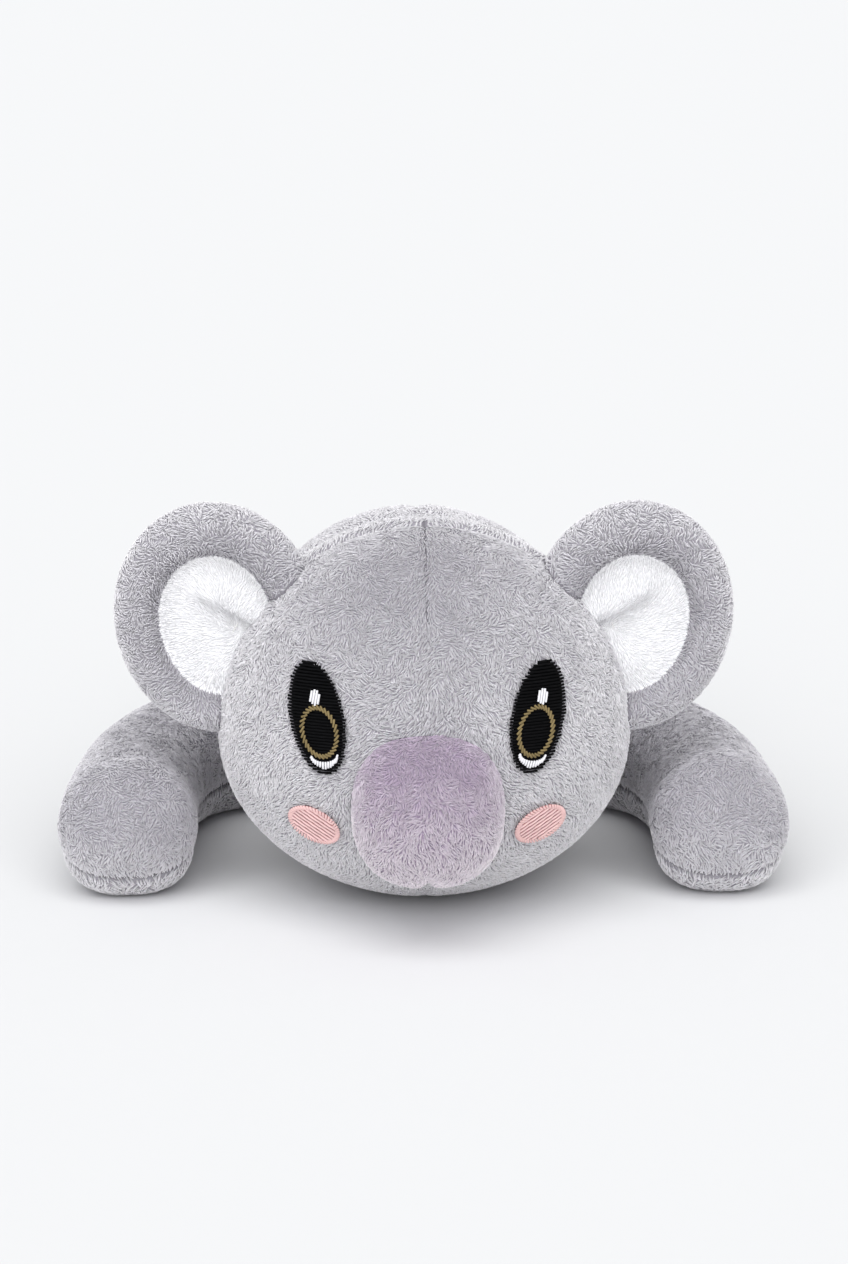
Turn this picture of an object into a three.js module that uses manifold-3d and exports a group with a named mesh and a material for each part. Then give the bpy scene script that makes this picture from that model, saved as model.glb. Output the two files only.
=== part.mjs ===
// Plush koala that lies on its belly: plush panels sewn over polyester stuffing, a domed nose,
// cupped ears and embroidered eyes and cheeks.
// Millimetres, +Z up. The face looks along -Y, and the toy's own left is +X.

import * as THREE from 'three';
import { mergeVertices } from 'three/addons/utils/BufferGeometryUtils.js';
import Module from 'manifold-3d';

const wasm = await Module();
wasm.setup();

// Cloth, thread and clearances
const PLUSH = 2.2; // plush cloth with the dense foot of its pile
const EAR_CLOTH = 1.7; // the thinner cloth of the ears
const THREAD = 0.8; // one layer of satin stitch
const GAP = 0.3; // clearance between pieces that are sewn or pressed together
const SWEEP_GAP = 0.6; // clearance between pieces that turn against each other
const REST_FLAT = 0.5; // depth of the flat on which a stuffed part rests
const OVERRUN = 20; // how far a cutting block runs past what it cuts

// Each egg is given by its reach from its widest level along each axis
const HEAD = { halfWidth: 64.5, rise: 66, drop: 52.5, front: 60, back: 57 };
const TORSO = { halfWidth: 59, rise: 54, drop: 44, front: 101, back: 72 };
const NOSE = { halfWidth: 22.5, rise: 22.5, drop: 22, front: 24, back: 20 };

// Places that are set by themselves
const EAR_SEAM = 5; // the seam from ear to ear runs this far in front of the head's widest section
const TORSO_TUCK = 40; // how far the torso's egg would reach into the back of the head
const NOSE_SINK = 4; // depth of the nose's widest section behind the front of the head
const NOSE_LOW = 10.7; // the nose's middle below the head's widest level
const BELLY_SEAM = 24; // height of the seam round the belly panel
const NECK_SINK = 14; // the neck's hinge lies this far inside the back of the head

// Ears: padded rims round a recessed white lining
const EAR = { halfWidth: 31, halfHeight: 35, rim: 7, cup: 2.5, back: 4.5, lining: 17.5 };
const EAR_OUT = 8; // from the head's side to the middle of the ear
const EAR_TURN = THREE.MathUtils.degToRad(8); // the ears face slightly outwards
const EAR_LEAN = THREE.MathUtils.degToRad(20); // and their tops lean apart
const EAR_ANGLE = THREE.MathUtils.degToRad(29); // the ear's place round the head, above its widest level
const EAR_SWING = [-25, 25]; // degrees that an ear folds forward and back

// Limbs: sausages that bend forwards from the shoulders and backwards from the hips
const ARM = { halfWidth: 22, halfHeight: 21.5, out: 43, forward: 123, seam: 11 };
const LEG = { halfWidth: 20, halfHeight: 19.5, out: 30, forward: -36, seam: 10 };
const LIMB_ROOT = 16; // length of a limb's root inside the torso's side
const SHOULDER_BACK = 99; // from the head's widest section back to the shoulders
const HIP_BACK = 147; // from the head's widest section back to the hips
const NOD = [-6, 12]; // degrees that the nose goes down and up
const ARM_SWING = [-5, 25]; // degrees that the paw goes in and out
const LEG_SWING = [-15, 15]; // degrees that the foot goes forward and back
const SWING_STEPS = 3;

// Embroidery on the face, each shape's middle and half sizes in the view from the front
const EYE = { across: 32.4, up: 15.5, halfWidth: 7.8, halfHeight: 16 };
const EYE_LEAN = THREE.MathUtils.degToRad(10);
const IRIS = { halfWidth: 5.6, halfHeight: 7.6, thread: 1.1, down: 3.6 };
const GLINT = { halfWidth: 1.5, halfHeight: 1.8, out: 0.4, up: 6.2 };
const CRESCENT = { halfWidth: 3.9, halfHeight: 3.6, thick: 1.5, down: 10.2 };
const CHEEK = { across: 33.6, down: 17.8, halfWidth: 8.4, halfHeight: 5.4 };
const CHEEK_LEAN = THREE.MathUtils.degToRad(26);

const EGG_SIDES = 24;
const EGG_RINGS = 14;
const NOSE_SIDES = 16;
const NOSE_RINGS = 10;
const LIMB_SIDES = 12;
const LIMB_CAP_RINGS = 3;
const LIMB_MIDDLE_RINGS = 4;
const EAR_SIDES = 18;
const PATCH_STEPS = 16;

// Where the points of the ear's rim lie round it, from inside the cup to the back
const RIM_DEGREES = [120, 80, 35, 0, -45, -90];

// Shares of a limb's bend: how far out and forward each point of its spine lies
const LIMB_SPINE_SHARES = [
  [0.62, 0.12],
  [0.92, 0.36],
  [1, 0.68],
  [0.96, 1],
];
// Shares of a limb's half width and half height at its root, middle and end
const LIMB_WIDTH_SHARES = [0.88, 0.84, 1.02];
const LIMB_HEIGHT_SHARES = [0.94, 0.9, 1.02];

const headMiddle = new THREE.Vector3(0, 0, HEAD.drop - REST_FLAT);
const torsoMiddle = new THREE.Vector3(0, HEAD.back + TORSO.front - TORSO_TUCK, TORSO.drop - REST_FLAT);
const noseMiddle = new THREE.Vector3(0, NOSE_SINK - HEAD.front, headMiddle.z - NOSE_LOW);
const neck = new THREE.Vector3(0, HEAD.back - NECK_SINK, headMiddle.z);

const materials = {
  plush: material(0xbdbac2, 0.95),
  nose: material(0xb9a6bf, 0.95),
  lining: material(0xf3f3f5, 0.95),
  stuffing: material(0xf5f3ee, 1),
  black: material(0x14121a, 0.5),
  gold: material(0x9c875f, 0.5),
  white: material(0xf2f2f2, 0.5),
  pink: material(0xf2a9a6, 0.6),
};

function material(color, roughness) {
  return new THREE.MeshStandardMaterial({ color, roughness, metalness: 0 });
}

// Turns a closed three.js geometry into a solid that can be joined and cut
function solidOf(geometry) {
  const bare = geometry.clone();
  bare.deleteAttribute('normal');
  bare.deleteAttribute('uv');
  const merged = mergeVertices(bare);
  return new wasm.Manifold(new wasm.Mesh({
    numProp: 3,
    vertProperties: new Float32Array(merged.attributes.position.array),
    triVerts: new Uint32Array(merged.index.array),
  }));
}

function geometryOf(solid) {
  const { vertProperties, triVerts } = solid.getMesh();
  const geometry = new THREE.BufferGeometry();
  geometry.setAttribute('position', new THREE.BufferAttribute(vertProperties, 3));
  geometry.setIndex(new THREE.BufferAttribute(triVerts, 1));
  geometry.computeVertexNormals();
  return geometry;
}

// Adds a solid to a moving group whose own origin is the group's hinge
function addPiece(group, name, solid, finish) {
  const geometry = geometryOf(solid);
  geometry.translate(-group.position.x, -group.position.y, -group.position.z);
  const mesh = new THREE.Mesh(geometry, finish);
  mesh.name = name;
  group.add(mesh);
}

function hingeGroup(name, pivot) {
  const group = new THREE.Group();
  group.name = name;
  group.position.copy(pivot);
  return group;
}

// An egg has its own reach on each side of its widest level; grow moves its whole skin outwards
function egg(size, middle, grow, sides = EGG_SIDES, rings = EGG_RINGS) {
  const geometry = new THREE.SphereGeometry(1, sides, rings);
  geometry.rotateX(Math.PI / 2);
  const place = geometry.attributes.position;
  for (let i = 0; i < place.count; i += 1) {
    const y = place.getY(i);
    const z = place.getZ(i);
    place.setXYZ(
      i,
      middle.x + place.getX(i) * (size.halfWidth + grow),
      middle.y + y * ((y < 0 ? size.front : size.back) + grow),
      middle.z + z * ((z < 0 ? size.drop : size.rise) + grow),
    );
  }
  return solidOf(geometry);
}

// A block between two corners, as a cutting tool
function block(low, high) {
  const geometry = new THREE.BoxGeometry(high.x - low.x, high.y - low.y, high.z - low.z);
  geometry.translate((low.x + high.x) / 2, (low.y + high.y) / 2, (low.z + high.z) / 2);
  return solidOf(geometry);
}

const reach = TORSO.front + TORSO.back + HEAD.front + HEAD.back + OVERRUN;
const everything = {
  low: new THREE.Vector3(-reach, -reach, -reach),
  high: new THREE.Vector3(reach, reach, reach),
};

// The half of space on one side of a plane square to an axis
function beyond(axis, at) {
  const low = everything.low.clone();
  low[axis] = at;
  return block(low, everything.high);
}

function before(axis, at) {
  const high = everything.high.clone();
  high[axis] = at;
  return block(everything.low, high);
}

const floor = before('z', 0);

function turned(solid, pivot, axis, degrees) {
  const geometry = geometryOf(solid);
  geometry.deleteAttribute('normal');
  geometry.translate(-pivot.x, -pivot.y, -pivot.z);
  const turn = new THREE.Matrix4().makeRotationAxis(axis, THREE.MathUtils.degToRad(degrees));
  geometry.applyMatrix4(turn);
  geometry.translate(pivot.x, pivot.y, pivot.z);
  return solidOf(geometry);
}

// The space that a solid takes up while it turns through a range
function swept(solid, pivot, axis, range) {
  let space = solid;
  for (let i = 0; i <= SWING_STEPS; i += 1) {
    const degrees = THREE.MathUtils.lerp(range[0], range[1], i / SWING_STEPS);
    space = space.add(turned(solid, pivot, axis, degrees));
  }
  return space;
}

// Three nested solids make a stuffed part: its outside, the inside of its cloth, and its stuffing
function nested(make, cloth) {
  return { outside: make(0), inside: make(-cloth), stuffing: make(-cloth - GAP) };
}

function headGroup() {
  const group = hingeGroup('head', neck);
  const { outside, inside, stuffing } = nested((grow) => egg(HEAD, headMiddle, grow), PLUSH);
  const skin = outside.subtract(inside).subtract(floor);
  const face = skin.intersect(before('y', -EAR_SEAM - GAP / 2));
  const rear = skin.intersect(beyond('y', -EAR_SEAM + GAP / 2));
  addPiece(group, 'face_left', face.intersect(beyond('x', GAP / 2)), materials.plush);
  addPiece(group, 'face_right', face.intersect(before('x', -GAP / 2)), materials.plush);
  addPiece(group, 'head_back_left', rear.intersect(beyond('x', GAP / 2)), materials.plush);
  addPiece(group, 'head_back_right', rear.intersect(before('x', -GAP / 2)), materials.plush);
  addPiece(group, 'head_stuffing', stuffing, materials.stuffing);
  addNose(group);
  for (const [side, end] of [[1, 'left'], [-1, 'right']]) {
    addEye(group, side, end);
    addCheek(group, side, end);
    group.add(earGroup(side, end, group.position));
  }
  return group;
}

function addNose(group) {
  const make = (grow) => egg(NOSE, noseMiddle, grow, NOSE_SIDES, NOSE_RINGS);
  const { outside, inside, stuffing } = nested(make, PLUSH);
  const face = egg(HEAD, headMiddle, GAP);
  addPiece(group, 'nose_cover', outside.subtract(inside).subtract(face), materials.nose);
  addPiece(group, 'nose_stuffing', stuffing.subtract(face), materials.stuffing);
}

// A layer of thread that lies on the face, inside an outline drawn in the view from the front
function stitched(outline, layer) {
  const low = GAP + layer * (THREAD + GAP);
  const sheet = egg(HEAD, headMiddle, low + THREAD).subtract(egg(HEAD, headMiddle, low));
  const depth = HEAD.front + OVERRUN;
  const tool = new THREE.ExtrudeGeometry(outline, {
    depth,
    bevelEnabled: false,
    curveSegments: PATCH_STEPS,
  });
  tool.rotateX(Math.PI / 2);
  tool.translate(headMiddle.x, headMiddle.y, headMiddle.z);
  return sheet.intersect(solidOf(tool));
}

function oval(x, up, halfWidth, halfHeight, lean) {
  const shape = new THREE.Shape();
  shape.absellipse(x, up, halfWidth, halfHeight, 0, 2 * Math.PI, false, lean);
  return shape;
}

// A place inside the eye, along its leaning height and across it
function inEye(side, across, up) {
  const lean = -side * EYE_LEAN;
  return [
    side * EYE.across + across * Math.cos(lean) - up * Math.sin(lean),
    EYE.up + across * Math.sin(lean) + up * Math.cos(lean),
  ];
}

function addEye(group, side, end) {
  const lean = -side * EYE_LEAN;
  const eye = oval(side * EYE.across, EYE.up, EYE.halfWidth, EYE.halfHeight, lean);
  addPiece(group, `eye_${end}`, stitched(eye, 0), materials.black);

  const [irisX, irisUp] = inEye(side, 0, -IRIS.down);
  const iris = oval(irisX, irisUp, IRIS.halfWidth, IRIS.halfHeight, lean);
  const pupil = new THREE.Path();
  const pupilWidth = IRIS.halfWidth - IRIS.thread;
  pupil.absellipse(irisX, irisUp, pupilWidth, IRIS.halfHeight - IRIS.thread, 0, 2 * Math.PI, true, lean);
  iris.holes.push(pupil);
  addPiece(group, `iris_${end}`, stitched(iris, 1), materials.gold);

  const [glintX, glintUp] = inEye(side, GLINT.out, GLINT.up);
  const glint = oval(glintX, glintUp, GLINT.halfWidth, GLINT.halfHeight, 0);
  addPiece(group, `glint_${end}`, stitched(glint, 1), materials.white);
  addPiece(group, `crescent_${end}`, stitched(crescent(side), 1), materials.white);
}

// The white arc under the iris: an arc and, back under it, a flatter one
function crescent(side) {
  const shape = new THREE.Shape();
  const last = PATCH_STEPS / 2;
  const edge = (share, depth) => {
    const angle = Math.PI * share;
    return inEye(side, -Math.cos(angle) * CRESCENT.halfWidth, -CRESCENT.down - Math.sin(angle) * depth);
  };
  for (let i = 0; i <= last; i += 1) {
    const [x, up] = edge(i / last, CRESCENT.halfHeight);
    if (i === 0) shape.moveTo(x, up);
    else shape.lineTo(x, up);
  }
  for (let i = last - 1; i > 0; i -= 1) {
    shape.lineTo(...edge(i / last, CRESCENT.halfHeight - CRESCENT.thick));
  }
  return shape;
}

function addCheek(group, side, end) {
  const lean = side * CHEEK_LEAN;
  const cheek = oval(side * CHEEK.across, -CHEEK.down, CHEEK.halfWidth, CHEEK.halfHeight, lean);
  addPiece(group, `cheek_${end}`, stitched(cheek, 0), materials.pink);
}

// Half of an ear's section, from the middle of its cupped front round the rim to its back
function earProfile(grow) {
  const rim = EAR.rim + grow;
  const ring = EAR.halfWidth - EAR.rim;
  const points = [new THREE.Vector2(0, EAR.cup + grow)];
  points.push(new THREE.Vector2(ring - EAR.rim, EAR.cup + grow));
  for (const degrees of RIM_DEGREES) {
    const angle = THREE.MathUtils.degToRad(degrees);
    points.push(new THREE.Vector2(ring + rim * Math.cos(angle), rim * Math.sin(angle)));
  }
  points.push(new THREE.Vector2(0, -EAR.back - grow));
  return points.reverse();
}

// Puts a shape made about the ear's own middle, facing +Y, in its place beside the head
function placeEar(geometry, side, middle) {
  geometry.scale(1, 1, EAR.halfHeight / EAR.halfWidth);
  geometry.rotateX(Math.PI);
  geometry.rotateZ(side * EAR_TURN);
  geometry.rotateY(side * EAR_LEAN);
  geometry.translate(middle.x, middle.y, middle.z);
  return solidOf(geometry);
}

function earGroup(side, end, parent) {
  const along = new THREE.Vector3(side * Math.cos(EAR_ANGLE), 0, Math.sin(EAR_ANGLE));
  const seat = new THREE.Vector3(along.x * HEAD.halfWidth, -EAR_SEAM, along.z * HEAD.rise);
  seat.add(headMiddle);
  const middle = seat.clone().addScaledVector(along, EAR_OUT);
  const hinge = new THREE.Vector3(-along.z * HEAD.halfWidth, 0, along.x * HEAD.rise).normalize();
  const cutter = swept(egg(HEAD, headMiddle, SWEEP_GAP), seat, hinge, EAR_SWING);

  const whole = (grow) => placeEar(new THREE.LatheGeometry(earProfile(grow), EAR_SIDES), side, middle);
  const { outside, inside, stuffing } = nested(whole, EAR_CLOTH);
  const skin = outside.subtract(inside).subtract(cutter);
  const disc = (radius, low, high) => {
    const geometry = new THREE.CylinderGeometry(radius, radius, high - low, EAR_SIDES);
    geometry.translate(0, (low + high) / 2, 0);
    return placeEar(geometry, side, middle);
  };
  const wide = EAR.halfWidth + OVERRUN;
  const front = disc(wide, GAP / 2, EAR.rim + OVERRUN);

  const group = hingeGroup(`ear_${end}`, seat);
  addPiece(group, `ear_back_${end}`, skin.intersect(disc(wide, -wide, -GAP / 2)), materials.plush);
  const rim = skin.intersect(front).subtract(disc(EAR.lining + GAP, -wide, wide));
  addPiece(group, `ear_rim_${end}`, rim, materials.plush);
  const lining = skin.intersect(front).intersect(disc(EAR.lining, -wide, wide));
  addPiece(group, `ear_lining_${end}`, lining, materials.lining);
  addPiece(group, `ear_wadding_${end}`, stuffing.subtract(cutter), materials.stuffing);
  group.position.sub(parent);
  return group;
}

// The torso's cloth and stuffing stay clear of the head as it nods
function addTorso(group) {
  const noseUp = new THREE.Vector3(-1, 0, 0);
  const headSpace = swept(egg(HEAD, headMiddle, SWEEP_GAP), neck, noseUp, NOD);
  const make = (grow) => egg(TORSO, torsoMiddle, grow);
  const { outside, inside, stuffing } = nested(make, PLUSH);
  const skin = outside.subtract(inside).subtract(floor).subtract(headSpace);
  const upper = skin.intersect(beyond('z', BELLY_SEAM + GAP / 2));
  addPiece(group, 'back_left', upper.intersect(beyond('x', GAP / 2)), materials.plush);
  addPiece(group, 'back_right', upper.intersect(before('x', -GAP / 2)), materials.plush);
  addPiece(group, 'belly', skin.intersect(before('z', BELLY_SEAM - GAP / 2)), materials.plush);
  addPiece(group, 'body_stuffing', stuffing.subtract(headSpace), materials.stuffing);
}

// Half width of the torso at a place along it, at the height where a limb joins
function torsoSide(y, z) {
  const along = (y - torsoMiddle.y) / (y < torsoMiddle.y ? TORSO.front : TORSO.back);
  const up = (z - torsoMiddle.z) / (z < torsoMiddle.z ? TORSO.drop : TORSO.rise);
  return TORSO.halfWidth * Math.sqrt(1 - along * along - up * up);
}

// The line through the middle of a limb, from inside the torso's side to the middle of its paw
function limbSpine(size, side, back) {
  const height = size.halfHeight - REST_FLAT;
  const root = torsoSide(back, height);
  const points = [
    new THREE.Vector3(side * (root - LIMB_ROOT), back, height),
    new THREE.Vector3(side * root, back, height),
  ];
  for (const [outShare, forwardShare] of LIMB_SPINE_SHARES) {
    points.push(new THREE.Vector3(side * (root + size.out * outShare), back - size.forward * forwardShare, height));
  }
  return new THREE.CatmullRomCurve3(points, false, 'centripetal');
}

// Distance along a limb and share of its section for each ring, with rounded ends
function limbRings(length, radius) {
  const start = [];
  const finish = [];
  for (let i = 0; i <= LIMB_CAP_RINGS; i += 1) {
    const angle = (Math.PI / 2) * (i / LIMB_CAP_RINGS);
    const inset = radius * (1 - Math.cos(angle));
    start.push([inset, Math.sin(angle)]);
    finish.unshift([length - inset, Math.sin(angle)]);
  }
  const middle = [];
  for (let i = 1; i < LIMB_MIDDLE_RINGS; i += 1) {
    middle.push([THREE.MathUtils.lerp(radius, length - radius, i / LIMB_MIDDLE_RINGS), 1]);
  }
  return [...start, ...middle, ...finish];
}

// A smooth blend of three shares along a limb
function swell(shares, u) {
  const points = shares.map((share, i) => new THREE.Vector2(i, share));
  return new THREE.QuadraticBezierCurve(...points).getPoint(u).y;
}

function limb(size, spine, grow) {
  const halfWidth = size.halfWidth + grow;
  const length = spine.getLength();
  const rings = limbRings(length + 2 * grow, halfWidth);
  const points = [];
  const up = new THREE.Vector3(0, 0, 1);
  for (const [distance, share] of rings) {
    const u = THREE.MathUtils.clamp((distance - grow) / length, 0, 1);
    const middle = spine.getPointAt(u);
    const tangent = spine.getTangentAt(u);
    const across = new THREE.Vector3().crossVectors(up, tangent);
    const width = halfWidth * swell(LIMB_WIDTH_SHARES, u);
    const tall = size.halfHeight * swell(LIMB_HEIGHT_SHARES, u);
    middle.z = tall - REST_FLAT;
    for (let i = 0; i < LIMB_SIDES; i += 1) {
      const angle = (2 * Math.PI * i) / LIMB_SIDES;
      points.push(middle.clone()
        .addScaledVector(across, Math.cos(angle) * share * width)
        .addScaledVector(up, Math.sin(angle) * share * (tall + grow)));
    }
  }
  const geometry = new THREE.BufferGeometry().setFromPoints(points);
  geometry.setIndex(ringFaces(rings.length, LIMB_SIDES));
  return solidOf(geometry);
}

// Faces between rings that start and end in a point
function ringFaces(rings, sides) {
  const faces = [];
  for (let ring = 0; ring < rings - 1; ring += 1) {
    for (let i = 0; i < sides; i += 1) {
      const a = ring * sides + i;
      const b = ring * sides + ((i + 1) % sides);
      if (ring > 0) faces.push(a, b, a + sides);
      if (ring < rings - 2) faces.push(b, b + sides, a + sides);
    }
  }
  return faces;
}

function limbGroup(name, size, side, end, back, swing) {
  const spine = limbSpine(size, side, back);
  const height = size.halfHeight - REST_FLAT;
  const seat = new THREE.Vector3(side * torsoSide(back, height), back, height);
  const upright = new THREE.Vector3(0, 0, 1);
  const range = side > 0 ? [-swing[1], -swing[0]] : swing;
  const cutter = swept(egg(TORSO, torsoMiddle, SWEEP_GAP), seat, upright, range);
  const { outside, inside, stuffing } = nested((grow) => limb(size, spine, grow), PLUSH);
  const skin = outside.subtract(inside).subtract(cutter).subtract(floor);

  const group = hingeGroup(`${name}_${end}`, seat);
  const seam = size.seam;
  addPiece(group, `${name}_top_${end}`, skin.intersect(beyond('z', seam + GAP / 2)), materials.plush);
  addPiece(group, `${name}_bottom_${end}`, skin.intersect(before('z', seam - GAP / 2)), materials.plush);
  addPiece(group, `${name}_stuffing_${end}`, stuffing.subtract(cutter), materials.stuffing);
  return group;
}

const koala = new THREE.Group();
koala.name = 'koala';
addTorso(koala);
koala.add(headGroup());
for (const [side, end] of [[1, 'left'], [-1, 'right']]) {
  koala.add(limbGroup('arm', ARM, side, end, SHOULDER_BACK, ARM_SWING));
  koala.add(limbGroup('leg', LEG, side, end, HIP_BACK, LEG_SWING));
}

// The origin is the middle of the toy's footprint, on the floor
const bounds = new THREE.Box3().setFromObject(koala);
const centre = bounds.getCenter(new THREE.Vector3());
koala.position.set(-centre.x, -centre.y, -bounds.min.z);

export default koala;
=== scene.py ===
import math

import bmesh
import bpy
import numpy as np
from bpy.props import FloatProperty, FloatVectorProperty, IntProperty, PointerProperty
from mathutils import Matrix, Quaternion, Vector, noise


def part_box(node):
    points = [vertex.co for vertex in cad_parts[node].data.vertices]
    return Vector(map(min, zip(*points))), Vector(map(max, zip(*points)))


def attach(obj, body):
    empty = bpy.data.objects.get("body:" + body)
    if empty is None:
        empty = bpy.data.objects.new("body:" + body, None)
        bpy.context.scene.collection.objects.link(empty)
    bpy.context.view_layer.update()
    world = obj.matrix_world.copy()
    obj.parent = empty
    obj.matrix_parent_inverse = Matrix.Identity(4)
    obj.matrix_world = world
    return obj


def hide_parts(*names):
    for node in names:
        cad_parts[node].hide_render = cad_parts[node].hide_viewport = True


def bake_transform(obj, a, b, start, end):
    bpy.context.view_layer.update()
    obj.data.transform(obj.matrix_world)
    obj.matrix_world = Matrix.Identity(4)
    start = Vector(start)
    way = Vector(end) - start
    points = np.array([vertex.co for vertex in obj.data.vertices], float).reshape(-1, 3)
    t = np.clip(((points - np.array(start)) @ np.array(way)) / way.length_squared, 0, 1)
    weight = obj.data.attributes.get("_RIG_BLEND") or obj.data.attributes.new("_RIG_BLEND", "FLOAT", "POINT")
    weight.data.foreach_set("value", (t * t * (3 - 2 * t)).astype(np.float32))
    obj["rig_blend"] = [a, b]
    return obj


bl_info = {
    "name": "Plush koala",
    "version": (1, 0, 0),
    "blender": (4, 5, 0),
    "location": "View3D > Sidebar > Koala",
    "description": "Builds a lying plush koala: sewn panels with their pile, stuffing and embroidery",
    "category": "Object",
}

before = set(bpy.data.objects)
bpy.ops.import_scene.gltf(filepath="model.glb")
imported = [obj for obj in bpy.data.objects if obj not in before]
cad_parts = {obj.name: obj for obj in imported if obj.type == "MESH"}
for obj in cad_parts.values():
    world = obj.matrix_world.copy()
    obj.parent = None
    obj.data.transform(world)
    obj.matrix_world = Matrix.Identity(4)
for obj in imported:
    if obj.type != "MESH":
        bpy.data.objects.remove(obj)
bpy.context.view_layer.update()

MM = 0.001
TINY = 1e-9
SIDES = ((1, "left"), (-1, "right"))
UP = Vector((0, 0, 1))
DOWN = np.array([0, 0, -1.0])
ACROSS = np.array([1.0, 0, 0])
MIDDLE_CUT = ((0, 0, 0), (1, 0, 0))

# A distance that is farther than any seam
FAR = 1.0


def span(*names):
    """Lowest and highest corner of several parts of the frame"""
    boxes = [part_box(name) for name in names]
    low = Vector([min(box[0][i] for box in boxes) for i in range(3)])
    high = Vector([max(box[1][i] for box in boxes) for i in range(3)])
    return low, high


class Egg:
    """A stuffed form with its own reach on each side of its widest level"""

    def __init__(self, middle, half_width, front, back, drop, rise):
        self.middle = np.array(middle, float)
        self.low = np.array([half_width, front, drop])
        self.high = np.array([half_width, back, rise])

    def grown(self, by):
        egg = Egg(self.middle, 0, 0, 0, 0, 0)
        egg.low = self.low + by
        egg.high = self.high + by
        return egg

    def reach(self, away):
        return np.where(away < 0, self.low, self.high)

    def surface(self, directions):
        return self.middle + directions * self.reach(directions)

    def depth(self, points):
        """1 on the surface and less inside it"""
        away = points - self.middle
        return np.linalg.norm(away / self.reach(away), axis=-1)

    def outward(self, points):
        away = points - self.middle
        normal = away / self.reach(away) ** 2
        return normal / np.linalg.norm(normal, axis=-1, keepdims=True)

    def front(self, x, up, out=0.0):
        """The place on its front face at a place in the view from the front"""
        egg = self.grown(out)
        across = x / egg.high[0]
        tall = up / np.where(up < 0, egg.low[2], egg.high[2])
        ahead = np.sqrt(np.maximum(0, 1 - across**2 - tall**2))
        y = egg.middle[1] - ahead * egg.low[1]
        return np.stack([egg.middle[0] + x, y, egg.middle[2] + up], axis=-1)


# Places from the frame, and the reach of each form that the frame doesn't show by itself
REST_FLAT = 0.5 * MM
HEAD_DROP = 52.5 * MM
TORSO_DROP = 44 * MM
TORSO_FRONT = 101 * MM
TORSO_BACK = 72 * MM
EAR_SEAM_AHEAD = 5 * MM
NOSE_SINK = 4 * MM
NOSE_LOW = 10.7 * MM
NOSE_FULLER = 1.2 * MM
NOSE_SQUARE = 2.45
NOSE_GRID = 0.8
DIMPLE = {"depth": 2.0 * MM, "half_width": 1.7 * MM, "half_height": 5.5 * MM}
NOSE_REACH = {
    "half_width": 22.5 * MM, "front": 24 * MM, "back": 20 * MM, "drop": 22 * MM, "rise": 22.5 * MM,
}

EAR_SEAM = (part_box("face_left")[1].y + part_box("head_back_left")[0].y) / 2
BELLY_SEAM = (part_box("back_left")[0].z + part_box("belly")[1].z) / 2
head_low, head_high = span("face_left", "face_right", "head_back_left", "head_back_right")
head_y = EAR_SEAM + EAR_SEAM_AHEAD
HEAD = Egg(
    (0, head_y, HEAD_DROP - REST_FLAT), head_high.x, head_y - head_low.y, head_high.y - head_y,
    HEAD_DROP, head_high.z - HEAD_DROP + REST_FLAT,
)
torso_low, torso_high = span("back_left", "back_right", "belly")
TORSO = Egg(
    (0, torso_high.y - TORSO_BACK, TORSO_DROP - REST_FLAT), torso_high.x, TORSO_FRONT, TORSO_BACK,
    TORSO_DROP, torso_high.z - TORSO_DROP + REST_FLAT,
)
NOSE = Egg((0, head_low.y + NOSE_SINK, HEAD.middle[2] - NOSE_LOW), **NOSE_REACH)

# Ears, about their own middle. The rim's section turns from its inner edge round to its back
EAR = {"half_width": 31 * MM, "half_height": 35 * MM, "rim": 7 * MM, "cup": 2.5 * MM, "back": 4.5 * MM}
EAR_LINING = 17.5 * MM
EAR_LINING_LOW = 1.2
EAR_OUT = 8 * MM
EAR_FULLER = 0.5 * MM
EAR_TURN = math.radians(8)
EAR_LEAN = math.radians(6)
EAR_ANGLE = math.radians(29)
EAR_GRID = 0.7
RIM_START = 125
RIM_TURN = 215
RIM_FINER = 1.6
ROUND_COARSER = 1.3
FOLD = {
    "start": (5.2 * MM, 8.1 * MM), "end": (-9.9 * MM, -2.3 * MM), "edge": 1.8 * MM, "lobe": 3.6 * MM,
    "lobe_width": 9 * MM, "valley": 2.6 * MM, "valley_width": 8 * MM,
}

# Limbs. Behind is how far a limb's root lies behind the middle of the head, and the shares tell how its
# spine, its width and its height run from the root to the tip
ARM = {
    "half_width": 22 * MM, "half_height": 21.5 * MM, "out": 43 * MM, "forward": 123 * MM, "seam": 11 * MM,
    "behind": 99 * MM,
}
LEG = {
    "half_width": 20 * MM, "half_height": 19.5 * MM, "out": 30 * MM, "forward": -36 * MM, "seam": 10 * MM,
    "behind": 147 * MM,
}
LIMBS = (("arm", ARM), ("leg", LEG))
LIMB_ROOT = 16 * MM
SEAM_RAISE = 6.5 * MM
SEAM_DIP = 9.8 * MM
LIMB_SQUARE = 2.6
SPINE_SHARES = ((0.62, 0.12), (0.92, 0.36), (1, 0.68), (0.96, 1))
WIDTH_SHARES = (0.88, 0.84, 1.02)
HEIGHT_SHARES = (0.96, 0.96, 1.02)
LOWER_INSET = 1.0 * MM

# Stuffed cloth: it is pinned this near to its seams and simulated for this many frames, with this behaviour.
PIN_REACH = 2.6 * MM
FRAMES = 20
CLOTH = {
    "quality": 5, "mass": 0.1, "tension_stiffness": 12, "compression_stiffness": 12, "shear_stiffness": 6,
    "bending_stiffness": 1.5, "use_pressure": True,
}

# Where a form is trimmed by another one, corners this near to the cut move onto it
SNAP = 0.7 * MM

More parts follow.
